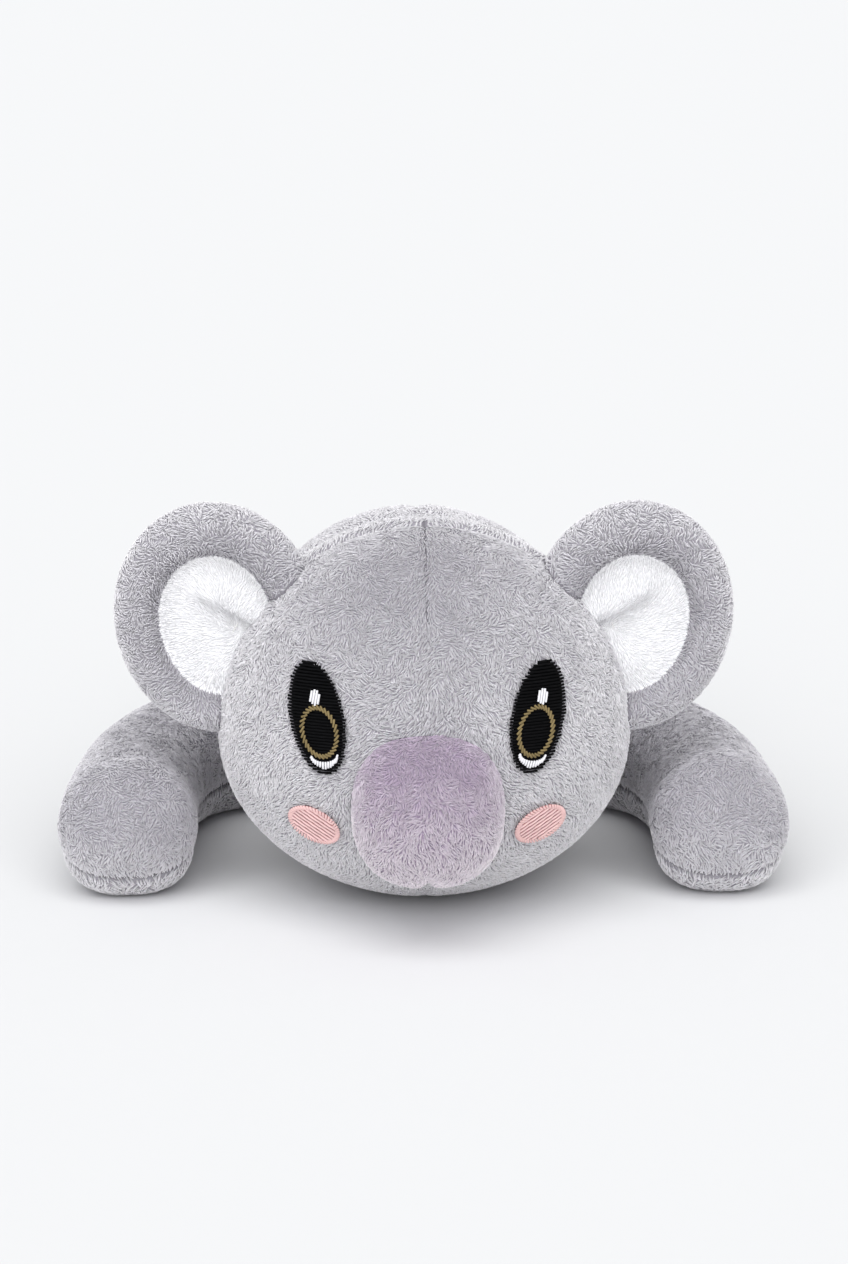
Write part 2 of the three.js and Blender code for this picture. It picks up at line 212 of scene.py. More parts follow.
# Heights over the floor, gaps round the stuffing, and its lumps
FLOOR_GAP = 0.3 * MM
FIBRE_GAP = 2.5 * MM
STUFFING_GAP = 0.3 * MM
STUFFING_CLEAR = 2 * MM
WADDING = {"inset": 3.2 * MM, "back": -3.0 * MM, "front": -1.6 * MM, "near_head": 1.04, "lumps": 0.3}
FINE_GRID = 0.6
LUMP_SIZE = 9 * MM
LUMP_SEED = 12

# Each seam's furrow, as shares of the depth and width of the cloth's settings
SEAM_SHARES = {
    "ear_to_ear": (1.1, 0.8), "head_middle": (0.5, 0.7), "lining": (0.3, 0.8), "belly": (1, 1),
    "spine": (0.8, 1), "paw": (0.7, 0.6),
}

# Where cloth that is sewn across a joint starts and stops to bend
NECK_BEND = ((0, 24 * MM, 50 * MM), (0, -4 * MM, 50 * MM))
EAR_BEND = (1 * MM, 9 * MM)
LIMB_BEND = (-2 * MM, 16 * MM)

# No pile grows within this many mm of a seam, or inside this share of the form that covers it, and the
# backing is darkened there as painted shade
BARE_EAR_SEAM = 0.4
BARE_CROWN = 0.25
BARE_SPINE = 0.3
BARE_BELLY = 0.35
BARE_OVER_PAW_SEAM = 0.4
BARE_UNDER_PAW_SEAM = 1.9
UNDER_NOSE = 0.9
NECK_UNDER_TORSO = 0.97
LIMB_UNDER_TORSO = 0.985
TORSO_UNDER_HEAD = 0.985
LINING_UNDER_HEAD = 0.98

# The face's middle seam is bare from this far over the middle of the head
CROWN_START = 42 * MM

# The usual reach, in mm, of an egg, of a stitched oval and of a limb's root, and the share that a limb covers
EGG_SIZE = 50
OVAL_SIZE = 8
ROOT_SIZE = 15
ROOT_COVER = 0.8

# How the pile swirls (size, amount and seed) and how pale it is in blotches (amount, size and seed)
SWIRLS = {
    "face": (16 * MM, 1.3, 2), "head_back": (14 * MM, 1.6, 4), "nose": (9 * MM, 1.1, 6),
    "rim": (9 * MM, 1.6, 7), "lining": (14 * MM, 1.2, 9), "torso": (14 * MM, 1.6, 8),
    "limb": (11 * MM, 1.0, 11),
}
BLOTCHES = {
    "head": (0.3, 16 * MM, 5), "nose": (0.25, 7 * MM, 3), "ear": (0.3, 10 * MM, 8),
    "torso": (0.3, 22 * MM, 6), "limb": (0.3, 14 * MM, 10),
}
BACK_AND_DOWN = {"head": np.array([0, 1.0, -0.35]), "torso": np.array([0, 1.0, -0.5])}

# How much the shades of tufts differ, and how much light passes through them
PILE_VARY = 0.12
PILE_GLOW = 0.8
LINING_VARY = 0.01
LINING_GLOW = 0.0

# Embroidery, each shape's middle and half sizes in the view from the front. Over and pad tell how far its
# threads and its padding stand out from the face
EYE = {
    "across": 32.4 * MM, "up": 15.5 * MM, "half_width": 7.8 * MM, "half_height": 16 * MM,
    "slant": math.radians(8), "over": 0.35 * MM, "pad": 0.3 * MM, "pad_inset": 0.5 * MM,
}
EYE_LEAN = math.radians(10)
IRIS = {
    "half_width": 5.6 * MM, "half_height": 7.6 * MM, "thread": 1.1 * MM, "down": 3.6 * MM, "over": 0.95 * MM,
}
GLINT = {
    "half_width": 1.5 * MM, "half_height": 1.8 * MM, "out": 0.4 * MM, "up": 6.2 * MM,
    "slant": math.radians(80), "over": 1.05 * MM, "pad": 1.0 * MM, "pad_low": 0.6 * MM, "pad_grid": 0.6 * MM,
}
CRESCENT = {
    "half_width": 3.9 * MM, "half_height": 3.6 * MM, "thick": 1.5 * MM, "down": 10.2 * MM, "shift": 0.3 * MM,
    "over": 0.8 * MM,
}
CHEEK = {
    "across": 33.6 * MM, "up": -17.8 * MM, "half_width": 8.0 * MM, "half_height": 5.7 * MM,
    "slant": math.radians(6), "over": 0.3 * MM, "pad": 0.05 * MM, "pad_inset": 0.4 * MM, "border": 1.1 * MM,
    "border_over": 0.45 * MM,
}
CHEEK_LEAN = math.radians(26)
PAD_LOW = -1.1 * MM
PAD_SIDES = 36
SHORT_STEPS = 3
SHORTEST_STITCH = 0.3

LAMP_PLACE = Vector((-0.1, -0.9, 1))


def measure(name, description, value):
    return FloatProperty(name=name, description=description, default=value, unit="LENGTH")


def angle(name, description, degrees):
    return FloatProperty(name=name, description=description, default=math.radians(degrees), subtype="ANGLE")


def colour(name, description, value):
    return FloatVectorProperty(
        name=name, description=description, subtype="COLOR", size=3, min=0, max=1, default=value)


def group(kind, name, description):
    return PointerProperty(type=kind, name=name, description=description)


class ClothSettings(bpy.types.PropertyGroup):
    """Sizes of the sewn panels"""

    under: measure("Backing depth", "How far the backing lies under the tips of the pile", 0.35 * MM)
    thickness: measure("Cloth thickness", "Thickness of the backing", 1.1 * MM)
    grid: measure("Mesh size", "Size of the faces that are simulated", 4 * MM)
    swell: measure("Swell", "How far the stuffing pushes the cloth out between its seams", 0.6 * MM)
    pressure: FloatProperty(name="Pressure", description="Pressure of the stuffing on the cloth", default=4.0)
    seam_depth: measure("Seam depth", "How far a seam is drawn in", 1.3 * MM)
    seam_width: measure("Seam width", "Half width of the furrow at a seam", 2.2 * MM)
    sink: measure("Seat", "How far a sewn edge reaches under the cloth of its neighbour", 1.6 * MM)
    lumps: measure("Lumps", "Height of the lumps of the stuffing", 0.7 * MM)


PILE_LENGTHS = {
    "length": "Length of a tuft",
    "width": "Width of a tuft",
    "height": "Height of a tuft's section",
    "spacing": "Least distance between two tufts",
    "cluster": "Size of a cluster of tufts that lie alike",
}
PILE_ANGLES = {
    "lift": "Angle at which a tuft stands up",
    "turn": "How far a cluster turns from the flow of the pile",
    "stray": "How far a tuft turns from its cluster",
}
PILE_INPUTS = {field: field.capitalize() for field in (*PILE_LENGTHS, *PILE_ANGLES)}


def pile_settings(name, lengths, angles):
    """A group of properties for one kind of pile, from its lengths in mm and its angles in degrees"""
    seed = IntProperty(name="Seed", description="Seed of the pile's random places", default=3, min=0)
    fields = {"seed": seed}
    for (field, description), value in zip(PILE_LENGTHS.items(), lengths):
        fields[field] = measure(field.capitalize(), description, value * MM)
    for (field, description), value in zip(PILE_ANGLES.items(), angles):
        fields[field] = angle(field.capitalize(), description, value)
    return type(name, (bpy.types.PropertyGroup,), {"__annotations__": fields, "__doc__": "Sizes of one pile"})


BodyPile = pile_settings("BodyPile", (2.4, 0.6, 0.62, 0.59, 3.0), (10, 85, 12))
FacePile = pile_settings("FacePile", (2.8, 0.54, 0.55, 0.56, 3.2), (9, 80, 16))
RearPile = pile_settings("RearPile", (2.8, 0.82, 0.5, 0.82, 3.8), (8, 70, 14))
NosePile = pile_settings("NosePile", (2.6, 0.52, 0.54, 0.53, 3.0), (9, 80, 16))
LiningPile = pile_settings("LiningPile", (3.2, 0.36, 0.16, 0.43, 5), (9, 16, 12))


class ColourSettings(bpy.types.PropertyGroup):
    """Colours of the cloths and threads"""

    # Each pile's tip has a colour in painted shade and a copy painted lit, which painted light and the pile's
    # own tone mix between; its roots and backing are darkened as painted shade between the tufts
    grey: colour("Grey pile", "Tips of the grey pile", (0.42, 0.406, 0.453))
    grey_painted_lit: colour("Pale grey pile", "Tips of the grey pile where it is pale", (0.85, 0.83, 0.89))
    grey_root_painted_shade: colour("Grey roots", "Roots of the grey pile", (0.4, 0.386, 0.43))
    grey_cloth_painted_shade: colour("Grey backing", "Backing of the grey pile", (0.33, 0.318, 0.355))
    mauve: colour("Mauve pile", "Tips of the nose's pile", (0.38, 0.3, 0.41))
    mauve_painted_lit: colour("Pale mauve pile", "Tips of the nose's pile where it is pale", (0.82, 0.73, 0.82))
    mauve_root_painted_shade: colour("Mauve roots", "Roots of the nose's pile", (0.35, 0.275, 0.38))
    mauve_cloth_painted_shade: colour("Mauve backing", "Backing of the nose's pile", (0.3, 0.24, 0.33))
    white: colour("White pile", "Tips of the ear linings' pile", (0.88, 0.88, 0.905))
    white_root: colour("White roots", "Roots of the ear linings' pile", (0.88, 0.88, 0.905))
    white_cloth_painted_shade: colour("White backing", "Backing of the ear linings' pile", (0.8, 0.8, 0.82))
    stuffing: colour("Stuffing", "Polyester fibre", (0.85, 0.84, 0.81))
    black: colour("Black thread", "Thread of the eyes", (0.0045, 0.0045, 0.005))
    gold: colour("Gold thread", "Thread of the irises", (0.17, 0.13, 0.062))
    snow: colour("White thread", "Thread of the glints and arcs", (0.6, 0.6, 0.63))
    pink: colour("Pink thread", "Thread of the cheeks", (0.66, 0.46, 0.46))
    # The cheeks' ground is darkened as painted shade between their threads
    pink_painted_shade: colour("Deep pink", "Cloth under the threads of the cheeks", (0.42, 0.16, 0.16))
    pink_pale: colour("Pale pink thread", "Thread round the cheeks", (0.62, 0.42, 0.415))
    floor: colour("Floor", "The pale floor, as the camera sees it", (0.613, 0.619, 0.628))
    floor_light: colour("Floor's light", "The floor, as it lights the toy", (0.93, 0.93, 0.93))


class ThreadSettings(bpy.types.PropertyGroup):
    """Sizes of the embroidery"""

    thickness: measure("Thread", "Thickness of a thread", 0.7 * MM)
    pitch: measure("Pitch", "Distance between neighbouring threads", 0.9 * MM)
    length: measure("Stitch", "Longest stitch", 3.6 * MM)
    rise: measure("Rise", "How far a stitch rises over its padding", 0.3 * MM)
    ragged: measure("Ragged edge", "How unevenly stitches end at an edge", 0.55 * MM)


class StageSettings(bpy.types.PropertyGroup):
    """The camera and the light"""

    distance: measure("Distance", "From the camera to the middle of the head", 1.0)
    elevation: angle("Elevation", "Height of the camera over the head, as an angle", 15)
    azimuth: angle("Azimuth", "How far the camera stands to one side", 1.2)
    tilt: angle("Tilt", "How far the camera looks above the head", 1.65)
    lens: FloatProperty(
        name="Lens", description="Focal length for a 36 mm wide picture", default=136.9, unit="CAMERA")
    sky: FloatProperty(name="Sky", description="Strength of the even light from all round", default=0.62)
    lamp: FloatProperty(name="Lamp", description="Strength of the soft lamp before the toy", default=3.8)
    lamp_size: angle("Lamp size", "Angle that the soft lamp covers", 75)
    reach: measure("Floor", "Half width of the floor", 12)


class KoalaSettings(bpy.types.PropertyGroup):
    """All sizes and colours of the koala"""

    cloth: group(ClothSettings, "Cloth", "Sizes of the sewn panels")
    body_pile: group(BodyPile, "Body pile", "Pile of the arms' upper panels, the ears' rims and their backs")
    face_pile: group(FacePile, "Face pile", "Pile of the face")
    rear_pile: group(RearPile, "Rear pile", "Pile of the head's back, the torso, the legs and lower panels")
    nose_pile: group(NosePile, "Nose pile", "Pile of the nose")
    lining_pile: group(LiningPile, "Lining pile", "Pile of the ear linings")
    colours: group(ColourSettings, "Colours", "Colours of the cloths and threads")
    thread: group(ThreadSettings, "Thread", "Sizes of the embroidery")
    stage: group(StageSettings, "Stage", "The camera and the light")


def settings():
    return bpy.context.scene.koala


def place(name, mesh):
    """Puts a mesh in the scene as a piece of its own"""
    mesh.name = name
    piece = bpy.data.objects.new(name, mesh)
    bpy.context.scene.collection.objects.link(piece)
    return piece


def discard(piece):
    mesh = piece.data
    bpy.data.objects.remove(piece)
    bpy.data.meshes.remove(mesh)


def as_mesh(piece):
    """The piece's shape with its modifiers carried out, as a plain mesh"""
    graph = bpy.context.evaluated_depsgraph_get()
    shown = piece.evaluated_get(graph)
    return bpy.data.meshes.new_from_object(shown, preserve_all_data_layers=True, depsgraph=graph)


def corners_of(mesh):
    corners = np.zeros(len(mesh.vertices) * 3)
    mesh.vertices.foreach_get("co", corners)
    return corners.reshape(-1, 3)


def normals_of(mesh):
    normals = np.zeros(len(mesh.vertices) * 3)
    mesh.vertices.foreach_get("normal", normals)
    return normals.reshape(-1, 3)


def move_corners(mesh, corners):
    mesh.vertices.foreach_set("co", np.asarray(corners, np.float32).ravel())
    mesh.update()


def store(mesh, name, values, kind="FLOAT"):
    """Keeps a number or a vector with each corner of a mesh"""
    attribute = mesh.attributes.new(name, kind, "POINT")
    key = "vector" if kind == "FLOAT_VECTOR" else "value"
    attribute.data.foreach_set(key, np.asarray(values, np.float32).ravel())


def mesh_from(bm):
    mesh = bpy.data.meshes.new("form")
    bm.to_mesh(mesh)
    bm.free()
    mesh.shade_smooth()
    return mesh


def ramp(values, start, stop):
    """0 up to the start, 1 from the stop on, and even between them"""
    return np.clip((values - start) / (stop - start), 0, 1)


def eased(share):
    """The same share, with a soft start and end"""
    return share * share * (3 - 2 * share)


def wander(points, size, seed):
    """Soft noise, one number for each point"""
    shift = Vector((seed * 7.3, seed * 3.1, seed * 5.7))
    return np.array([noise.noise(Vector(p) / size + shift) for p in points])


# Forms, before they are cut into panels


def egg_form(egg, grid):
    """An egg whose faces are even all over"""
    bm = bmesh.new()
    bmesh.ops.create_cube(bm, size=2)
    steps = max(4, round(math.pi / 2 * float(egg.high.mean()) / grid))
    bmesh.ops.subdivide_edges(bm, edges=bm.edges[:], cuts=steps - 1, use_grid_fill=True)
    for corner in bm.verts:
        direction = Vector([math.tan(c * math.pi / 4) for c in corner.co]).normalized()
        corner.co = egg.surface(np.array(direction))
    bmesh.ops.recalc_face_normals(bm, faces=bm.faces[:])
    return bm


def trim(bm, egg, sink):
    """Cuts away what lies inside another form, along an even edge a little under its surface"""
    inner = egg.grown(-sink)
    middle = Vector(inner.middle)
    values = dict(zip(bm.verts, inner.depth(np.array([corner.co for corner in bm.verts])) - 1))

    def settle(corner):
        corner.co = middle + (corner.co - middle) / float(inner.depth(np.array(corner.co)))
        values[corner] = 0

    for corner in bm.verts[:]:
        if abs(values[corner]) * (corner.co - middle).length < SNAP:
            settle(corner)
    for edge in bm.edges[:]:
        a, b = (values[corner] for corner in edge.verts)
        if a * b < 0:
            settle(bmesh.utils.edge_split(edge, edge.verts[0], float(a / (a - b)))[1])
    for face in bm.faces[:]:
        levels = [values[corner] for corner in face.verts]
        crossed = [corner for corner, level in zip(face.verts, levels) if level == 0]
        if min(levels) < 0 < max(levels) and len(crossed) == 2:
            bmesh.utils.face_split(face, *crossed)
    inside = [face for face in bm.faces if sum(values[corner] for corner in face.verts) < 0]
    inside += [face for face in bm.faces if not any(values[corner] for corner in face.verts)
               and inner.depth(np.array(face.calc_center_median())) < 1]
    bmesh.ops.delete(bm, geom=inside, context="FACES")
    bm.verts.index_update()
    return bm


def clip(bm, egg, clear, way):
    """Presses a form flat against the outside of another one, along one direction"""
    outer = egg.grown(clear)
    way = Vector(way)
    halvings = 16
    for corner in bm.verts:
        if outer.depth(np.array(corner.co)) < 1:
            low, high = 0, 2 * float(outer.high.max())
            for _ in range(halvings):
                half = (low + high) / 2
                within = outer.depth(np.array(corner.co + way * half)) < 1
                low, high = (half, high) if within else (low, half)
            corner.co += way * high
    return bm


def grid_form(rows):
    """A closed skin over rows of points, with a point at each end"""
    bm = bmesh.new()
    sides = len(rows[0])
    ends = [bm.verts.new(np.mean(rows[0], axis=0)), bm.verts.new(np.mean(rows[-1], axis=0))]
    rings = [[bm.verts.new(p) for p in row] for row in rows[1:-1]]
    for i in range(sides):
        after = (i + 1) % sides
        bm.faces.new((ends[0], rings[0][after], rings[0][i]))
        bm.faces.new((ends[1], rings[-1][i], rings[-1][after]))
        for ring, following in zip(rings, rings[1:]):
            bm.faces.new((ring[i], ring[after], following[after], following[i]))
    bmesh.ops.recalc_face_normals(bm, faces=bm.faces[:])
    bm.verts.index_update()
    return bm


def smooth_line(points, samples=160):
    """Evenly spaced points on a centripetal curve through a few points"""
    points = [np.array(p, float) for p in points]
    points = [2 * points[0] - points[1], *points, 2 * points[-1] - points[-2]]
    line = []
    for p0, p1, p2, p3 in zip(points, points[1:], points[2:], points[3:]):
        t0, t1, t2 = (math.sqrt(np.linalg.norm(b - a)) for a, b in ((p0, p1), (p1, p2), (p2, p3)))
        start = ((p1 - p0) / t0 - (p2 - p0) / (t0 + t1) + (p2 - p1) / t1) * t1
        end = ((p2 - p1) / t1 - (p3 - p1) / (t1 + t2) + (p3 - p2) / t2) * t1
        for i in range(samples):
            s = i / samples
            line.append(p1 + start * s + (3 * (p2 - p1) - 2 * start - end) * s**2
                        + (2 * (p1 - p2) + start + end) * s**3)
    line.append(points[-2])
    return np.array(line)


def swell(shares, u):
    """A smooth blend of three shares along a limb"""
    return shares[0] * (1 - u) ** 2 + 2 * shares[1] * u * (1 - u) + shares[2] * u**2


class Limb:
    """A bent sausage with rounded ends that lies on the floor"""

    def __init__(self, size, side):
        self.size = size
        self.side = side
        height = size["half_height"] - REST_FLAT
        y = HEAD.middle[1] + size["behind"]
        along = (y - TORSO.middle[1]) / TORSO.reach(np.array([0, y - TORSO.middle[1], 0]))[1]
        up = (height - TORSO.middle[2]) / TORSO.low[2]
        root = float(TORSO.high[0] * math.sqrt(1 - along**2 - up**2))
        self.root = Vector((side * root, y, height))
        points = [(side * (root - LIMB_ROOT), y, height), (side * root, y, height)]
        for out, forward in SPINE_SHARES:
            points.append((side * (root + size["out"] * out), y - size["forward"] * forward, height))
        self.line = smooth_line(points)
        steps = np.linalg.norm(np.diff(self.line, axis=0), axis=1)
        self.travel = np.concatenate([[0], np.cumsum(steps)])
        self.length = self.travel[-1]

    def middle(self, distance):
        return np.array([np.interp(distance, self.travel, self.line[:, i]) for i in range(3)])

    def way(self, distance):
        """The direction of the limb at a distance from its root"""
        step = 1 * MM
        ahead = self.middle(min(distance + step, self.length)) - self.middle(max(distance - step, 0))
        return ahead / np.linalg.norm(ahead)

    def seam(self):
        """The seam's two planes, as a point and a normal: rising from the root, then falling to the tip"""
        way = self.way(self.length)
        half = self.size["half_width"]
        top = self.middle(self.length) - way * half
        top[2] = self.size["seam"] + SEAM_RAISE
        slopes = (-SEAM_RAISE / (self.length - half), SEAM_DIP / half)
        return [(top, np.array([slope * way[0], slope * way[1], 1.0])) for slope in slopes]

    def above_seam(self, points):
        """Height over the seam"""
        return np.max([(points - place) @ normal for place, normal in self.seam()], axis=0)

    def rows(self, grow, grid):
        radius = self.size["half_width"] + grow
        length = self.length + 2 * grow
        cap = radius * math.pi / 2
        whole = length - 2 * radius + 2 * cap
        count = round(whole / grid)
        sides = 2 * round(math.pi * radius / grid)
        rows = []
        for i in range(count + 1):
            w = whole * i / count
            if w < cap:
                distance, share = radius * (1 - math.cos(w / radius)), math.sin(w / radius)
            elif w > whole - cap:
                back = whole - w
                distance, share = length - radius * (1 - math.cos(back / radius)), math.sin(back / radius)
            else:
                distance, share = radius + w - cap, 1
            u = min(max((distance - grow) / self.length, 0), 1)
            middle, way = self.middle(u * self.length), self.way(u * self.length)
            across = np.cross(UP, way)
            tall = self.size["half_height"] * swell(HEIGHT_SHARES, u)
            middle[2] = tall - REST_FLAT
            row = []
            for k in range(sides):
                angle = 2 * math.pi * k / sides
                cos, sin = math.cos(angle), math.sin(angle)
                power = 2 if sin > 0 else LIMB_SQUARE
                out = share / (abs(cos) ** power + abs(sin) ** power) ** (1 / power)
                row.append(middle + across * cos * out * radius * swell(WIDTH_SHARES, u)
                           + np.array(UP) * sin * out * (tall + grow))
            rows.append(row)
        return rows

    def flow(self, points):
        """The pile is brushed along the limb, and down at its tip"""
        stride = 8
        line = self.line[::stride]
        nearest = np.array([int(np.argmin(((line - p) ** 2).sum(axis=1))) * stride for p in points])
        tips = np.minimum(nearest + stride, len(self.line) - 1)
        ways = self.line[tips] - self.line[np.maximum(tips - 2 * stride, 0)]
        ways /= np.linalg.norm(ways, axis=1, keepdims=True)
        left = (self.length - self.travel[np.minimum(nearest, len(self.travel) - 1)])[:, None]
        down = ramp(left, 30 * MM, 10 * MM)
        return ways * (1 - down) + DOWN * down

    def from_seam(self, points):
        return np.abs(self.above_seam(points))

    def furrow(self, points):
        return groove(self.from_seam(points), "paw")

    def near_seam(self, points):
        return ramp(self.from_seam(points), 4.8 * MM, 1.8 * MM)

    def calm(self, points):
        return 0.8 * self.near_seam(points)

    def bare(self, points):
        """The pile ends before the seam above it, and starts well below it"""
        above = self.above_seam(points)
        crease = np.where(above > -1e-6, BARE_OVER_PAW_SEAM - above / MM, BARE_UNDER_PAW_SEAM + above / MM)
        return np.maximum(within(TORSO, points, LIMB_UNDER_TORSO), crease)

    def covers(self, points):
        """Above 0 where the limb is sewn onto the torso"""
        away = points - np.array(self.root)
        wide, tall = self.size["half_width"] * ROOT_COVER, self.size["half_height"] * ROOT_COVER
        near = ROOT_SIZE * (1 - np.hypot(away[:, 1] / wide, away[:, 2] / tall))
        return np.where(points[:, 0] * self.side > 0, near, -np.inf)


class Ear:
    """A padded disc with a rounded rim and a cupped front, beside the head"""

    def __init__(self, side):
        self.side = side
        along = np.array([side * math.cos(EAR_ANGLE), 0, math.sin(EAR_ANGLE)])
        reach = np.array([HEAD.high[0], 0, HEAD.high[2]])
        self.seat = HEAD.middle + along * reach - np.array([0, EAR_SEAM_AHEAD, 0])
        self.along = along
        self.middle = self.seat + along * EAR_OUT
        turn = Matrix.Rotation(side * EAR_LEAN, 3, "Y") @ Matrix.Rotation(side * EAR_TURN, 3, "Z")
        self.axes = np.array(turn @ Matrix(((1, 0, 0), (0, -1, 0), (0, 0, 1))))

    def put(self, local):
        """From the ear's own across, out and up to its place in the frame"""
        return self.middle + np.asarray(local) @ self.axes.T

    def local(self, points):
        return (np.asarray(points) - self.middle) @ self.axes

    def ring(self, points):
        """Distance from the ear's middle, as on an ear as tall as it is wide"""
        flat = self.local(points)
        tall = flat[:, 2] * EAR["half_width"] / EAR["half_height"]
        return np.hypot(flat[:, 0], tall)

    def lining(self, points):
        """Distance from the ear's middle as the lining's edge counts it, which hangs lower"""
        flat = self.local(points)
        tall = flat[:, 2] * EAR["half_width"] / EAR["half_height"]
        return np.hypot(flat[:, 0], tall / np.where(tall < 0, EAR_LINING_LOW, 1))

    def profile(self, grow, front, back, grid):
        """Half of the section, from the middle of the front round the rim to the middle of the back"""
        rim = EAR["rim"] + grow
        ring = EAR["half_width"] - EAR["rim"]
        steps = round(EAR_LINING / grid)
        inner = [(EAR_LINING * i / steps, front) for i in range(steps + 1)]
        count = round(rim * math.radians(RIM_TURN) / grid * RIM_FINER)
        arc = []
        for i in range(count + 1):
            angle = math.radians(RIM_START - RIM_TURN * i / count)
            arc.append((ring + rim * math.cos(angle), rim * math.sin(angle)))
        count = round(ring / grid)
        rear = [(ring * (1 - k / count), -rim + (rim - back) * k / count) for k in range(1, count + 1)]
        return inner + arc + rear

    def rows(self, grow, front, back, grid):
        whole = EAR["half_width"] + grow
        sides = 2 * round(math.pi * whole / grid / ROUND_COARSER)
        tall = EAR["half_height"] / EAR["half_width"]
        rows = []
        for radius, out in self.profile(grow, front, back, grid):
            angles = 2 * math.pi * np.arange(sides) / sides
            across, up = radius * np.sin(angles), radius * np.cos(angles) * tall
            inner = min(1, max(0, (whole - radius) / (whole - EAR_LINING)))
            low = 1 + (EAR_LINING_LOW - 1) * inner * (out > 0)
            up = np.where(up < 0, up * low, up)
            rows.append(self.put(np.stack([across, np.full(sides, out), up], axis=1)))
        return rows

    def covers(self, points):
        """Where the ear is sewn onto the head"""
        inside = self.ring(points) < EAR["half_width"] - 3 * MM
        return inside & (np.abs(self.local(points)[:, 1]) < 2 * MM)

    def on_back(self, points):
        return self.local(points)[:, 1] <= 0

    def in_lining(self, points):
        return ~self.on_back(points) & (self.lining(points) < EAR_LINING)

    def on_rim(self, points):
        return ~self.on_back(points) & ~self.in_lining(points)

    def lining_edge(self, points):
        """Distance from the seam round the lining"""
        return np.where(self.on_back(points), FAR, np.abs(self.lining(points) - EAR_LINING))

    def furrow(self, points):
        return groove(self.lining_edge(points), "lining")

    def outward(self, points):
        """Away from the rim's middle line, or straight out of the ear inside it"""
        local = self.local(points)
        ring = self.ring(points)[:, None]
        middle = EAR["half_width"] - EAR["rim"]
        local[:, 2] *= EAR["half_width"] / EAR["half_height"]
        flat = local * np.array([1, 0, 1])
        rim = local - flat / np.maximum(ring, TINY) * middle
        face = np.array([0, 1.0, 0]) * np.sign(local[:, 1:2] + TINY)
        normal = np.where(ring < middle - 3 * MM, face, rim)
        normal /= np.maximum(np.linalg.norm(normal, axis=1, keepdims=True), TINY)
        return normal @ self.axes.T

    def rim_flow(self, points):
        """Out over the rim"""
        local = self.local(points)
        local[:, 1] = 0
        return swirled(points, self.outward(points), local @ self.axes.T, "rim")

    def lining_flow(self, points):
        """Away from the head"""
        return swirled(points, self.outward(points), points - self.seat, "lining")

    def rim_calm(self, points):
        """Combed straight at the rim's inner edge"""
        near = ramp(self.lining(points), EAR_LINING + 4.5 * MM, EAR_LINING + 1.5 * MM)
        return 0.75 * near * ~self.on_back(points)

    def pale(self, points):
        """Paler where the rim turns away to the outside"""
        outer = ramp(self.ring(points), 24 * MM, 32 * MM)
        near = np.exp(-np.linalg.norm(points - self.seat, axis=1) / (12 * MM))
        return np.clip(0.25 + 0.7 * outer - near + blotches(points, "ear"), 0, 1)


def puff(mesh, held, name):
    """Lets the stuffing swell the cloth, which is held at its seams"""
    cloth_size = settings().cloth
    start = corners_of(mesh)
    work = place(f"{name}_work", mesh.copy())
    pins = work.vertex_groups.new(name="held")
    pins.add([int(i) for i in np.flatnonzero(held < PIN_REACH)], 1.0, "REPLACE")
    modifier = work.modifiers.new("cloth", "CLOTH")
    cloth = modifier.settings
    for field, value in CLOTH.items():
        setattr(cloth, field, value)
    cloth.uniform_pressure_force = cloth_size.pressure
    cloth.effector_weights.gravity = 0
    cloth.vertex_group_mass = "held"
    modifier.collision_settings.use_collision = False
    modifier.point_cache.frame_start = 1
    modifier.point_cache.frame_end = FRAMES
    scene = bpy.context.scene
    for number in range(1, FRAMES + 1):
        scene.frame_set(number)
    shaped = as_mesh(work)
    move = corners_of(shaped) - start
    scene.frame_set(1)
    discard(work)
    bpy.data.meshes.remove(shaped)
    far = np.linalg.norm(move, axis=1, keepdims=True)
    cap = 2 * cloth_size.swell
    move *= cap * np.tanh(far / cap) / np.maximum(far, TINY)
    move_corners(mesh, start + move)


def refine(mesh):
    """One smooth subdivision, with the edges kept"""
    piece = place("refined", mesh)
    modifier = piece.modifiers.new("smooth", "SUBSURF")
    modifier.levels = 1
    modifier.render_levels = 1
    fine = as_mesh(piece)
    discard(piece)
    return fine


def stuffed(bm, name, held, furrow):
    """A stuffed form: simulated, smoothed, drawn in at its seams and flat where it lies.

    held tells how far a point is from where the cloth is held, and furrow how far it is drawn in.
    """
    mesh = mesh_from(bm)
    distance = held(corners_of(mesh))
    distance[open_corners(mesh)] = 0
    puff(mesh, distance, name)
    mesh = refine(mesh)
    points = corners_of(mesh)
    points -= normals_of(mesh) * furrow(points)[:, None]
    points[:, 2] = np.maximum(points[:, 2], FLOOR_GAP)
    move_corners(mesh, points)
    return mesh


def groove(distance, seam):
    """How deep a seam's furrow is at a distance from the seam"""
    cloth = settings().cloth
    depth, width = SEAM_SHARES[seam]
    return depth * cloth.seam_depth * np.exp(-(distance / (width * cloth.seam_width)) ** 2)


def open_corners(mesh):
    """Corners on the open edge of a mesh"""
    bm = bmesh.new()
    bm.from_mesh(mesh)
    found = [corner.index for corner in bm.verts if corner.is_boundary]
    bm.free()
    return found


def panel(mesh, cuts, keep):
    """The part of a form that one panel covers. Cuts are planes, and keep tests the middle of a face"""
    bm = bmesh.new()
    bm.from_mesh(mesh)
    for point, normal in cuts:
        everything = bm.verts[:] + bm.edges[:] + bm.faces[:]
        bmesh.ops.bisect_plane(bm, geom=everything, dist=1e-6, plane_co=point, plane_no=normal)
    wanted = keep(np.array([face.calc_center_median() for face in bm.faces]))
    gone = [face for face, stays in zip(bm.faces, wanted) if not stays]
    bmesh.ops.delete(bm, geom=gone, context="FACES")
    return mesh_from(bm)


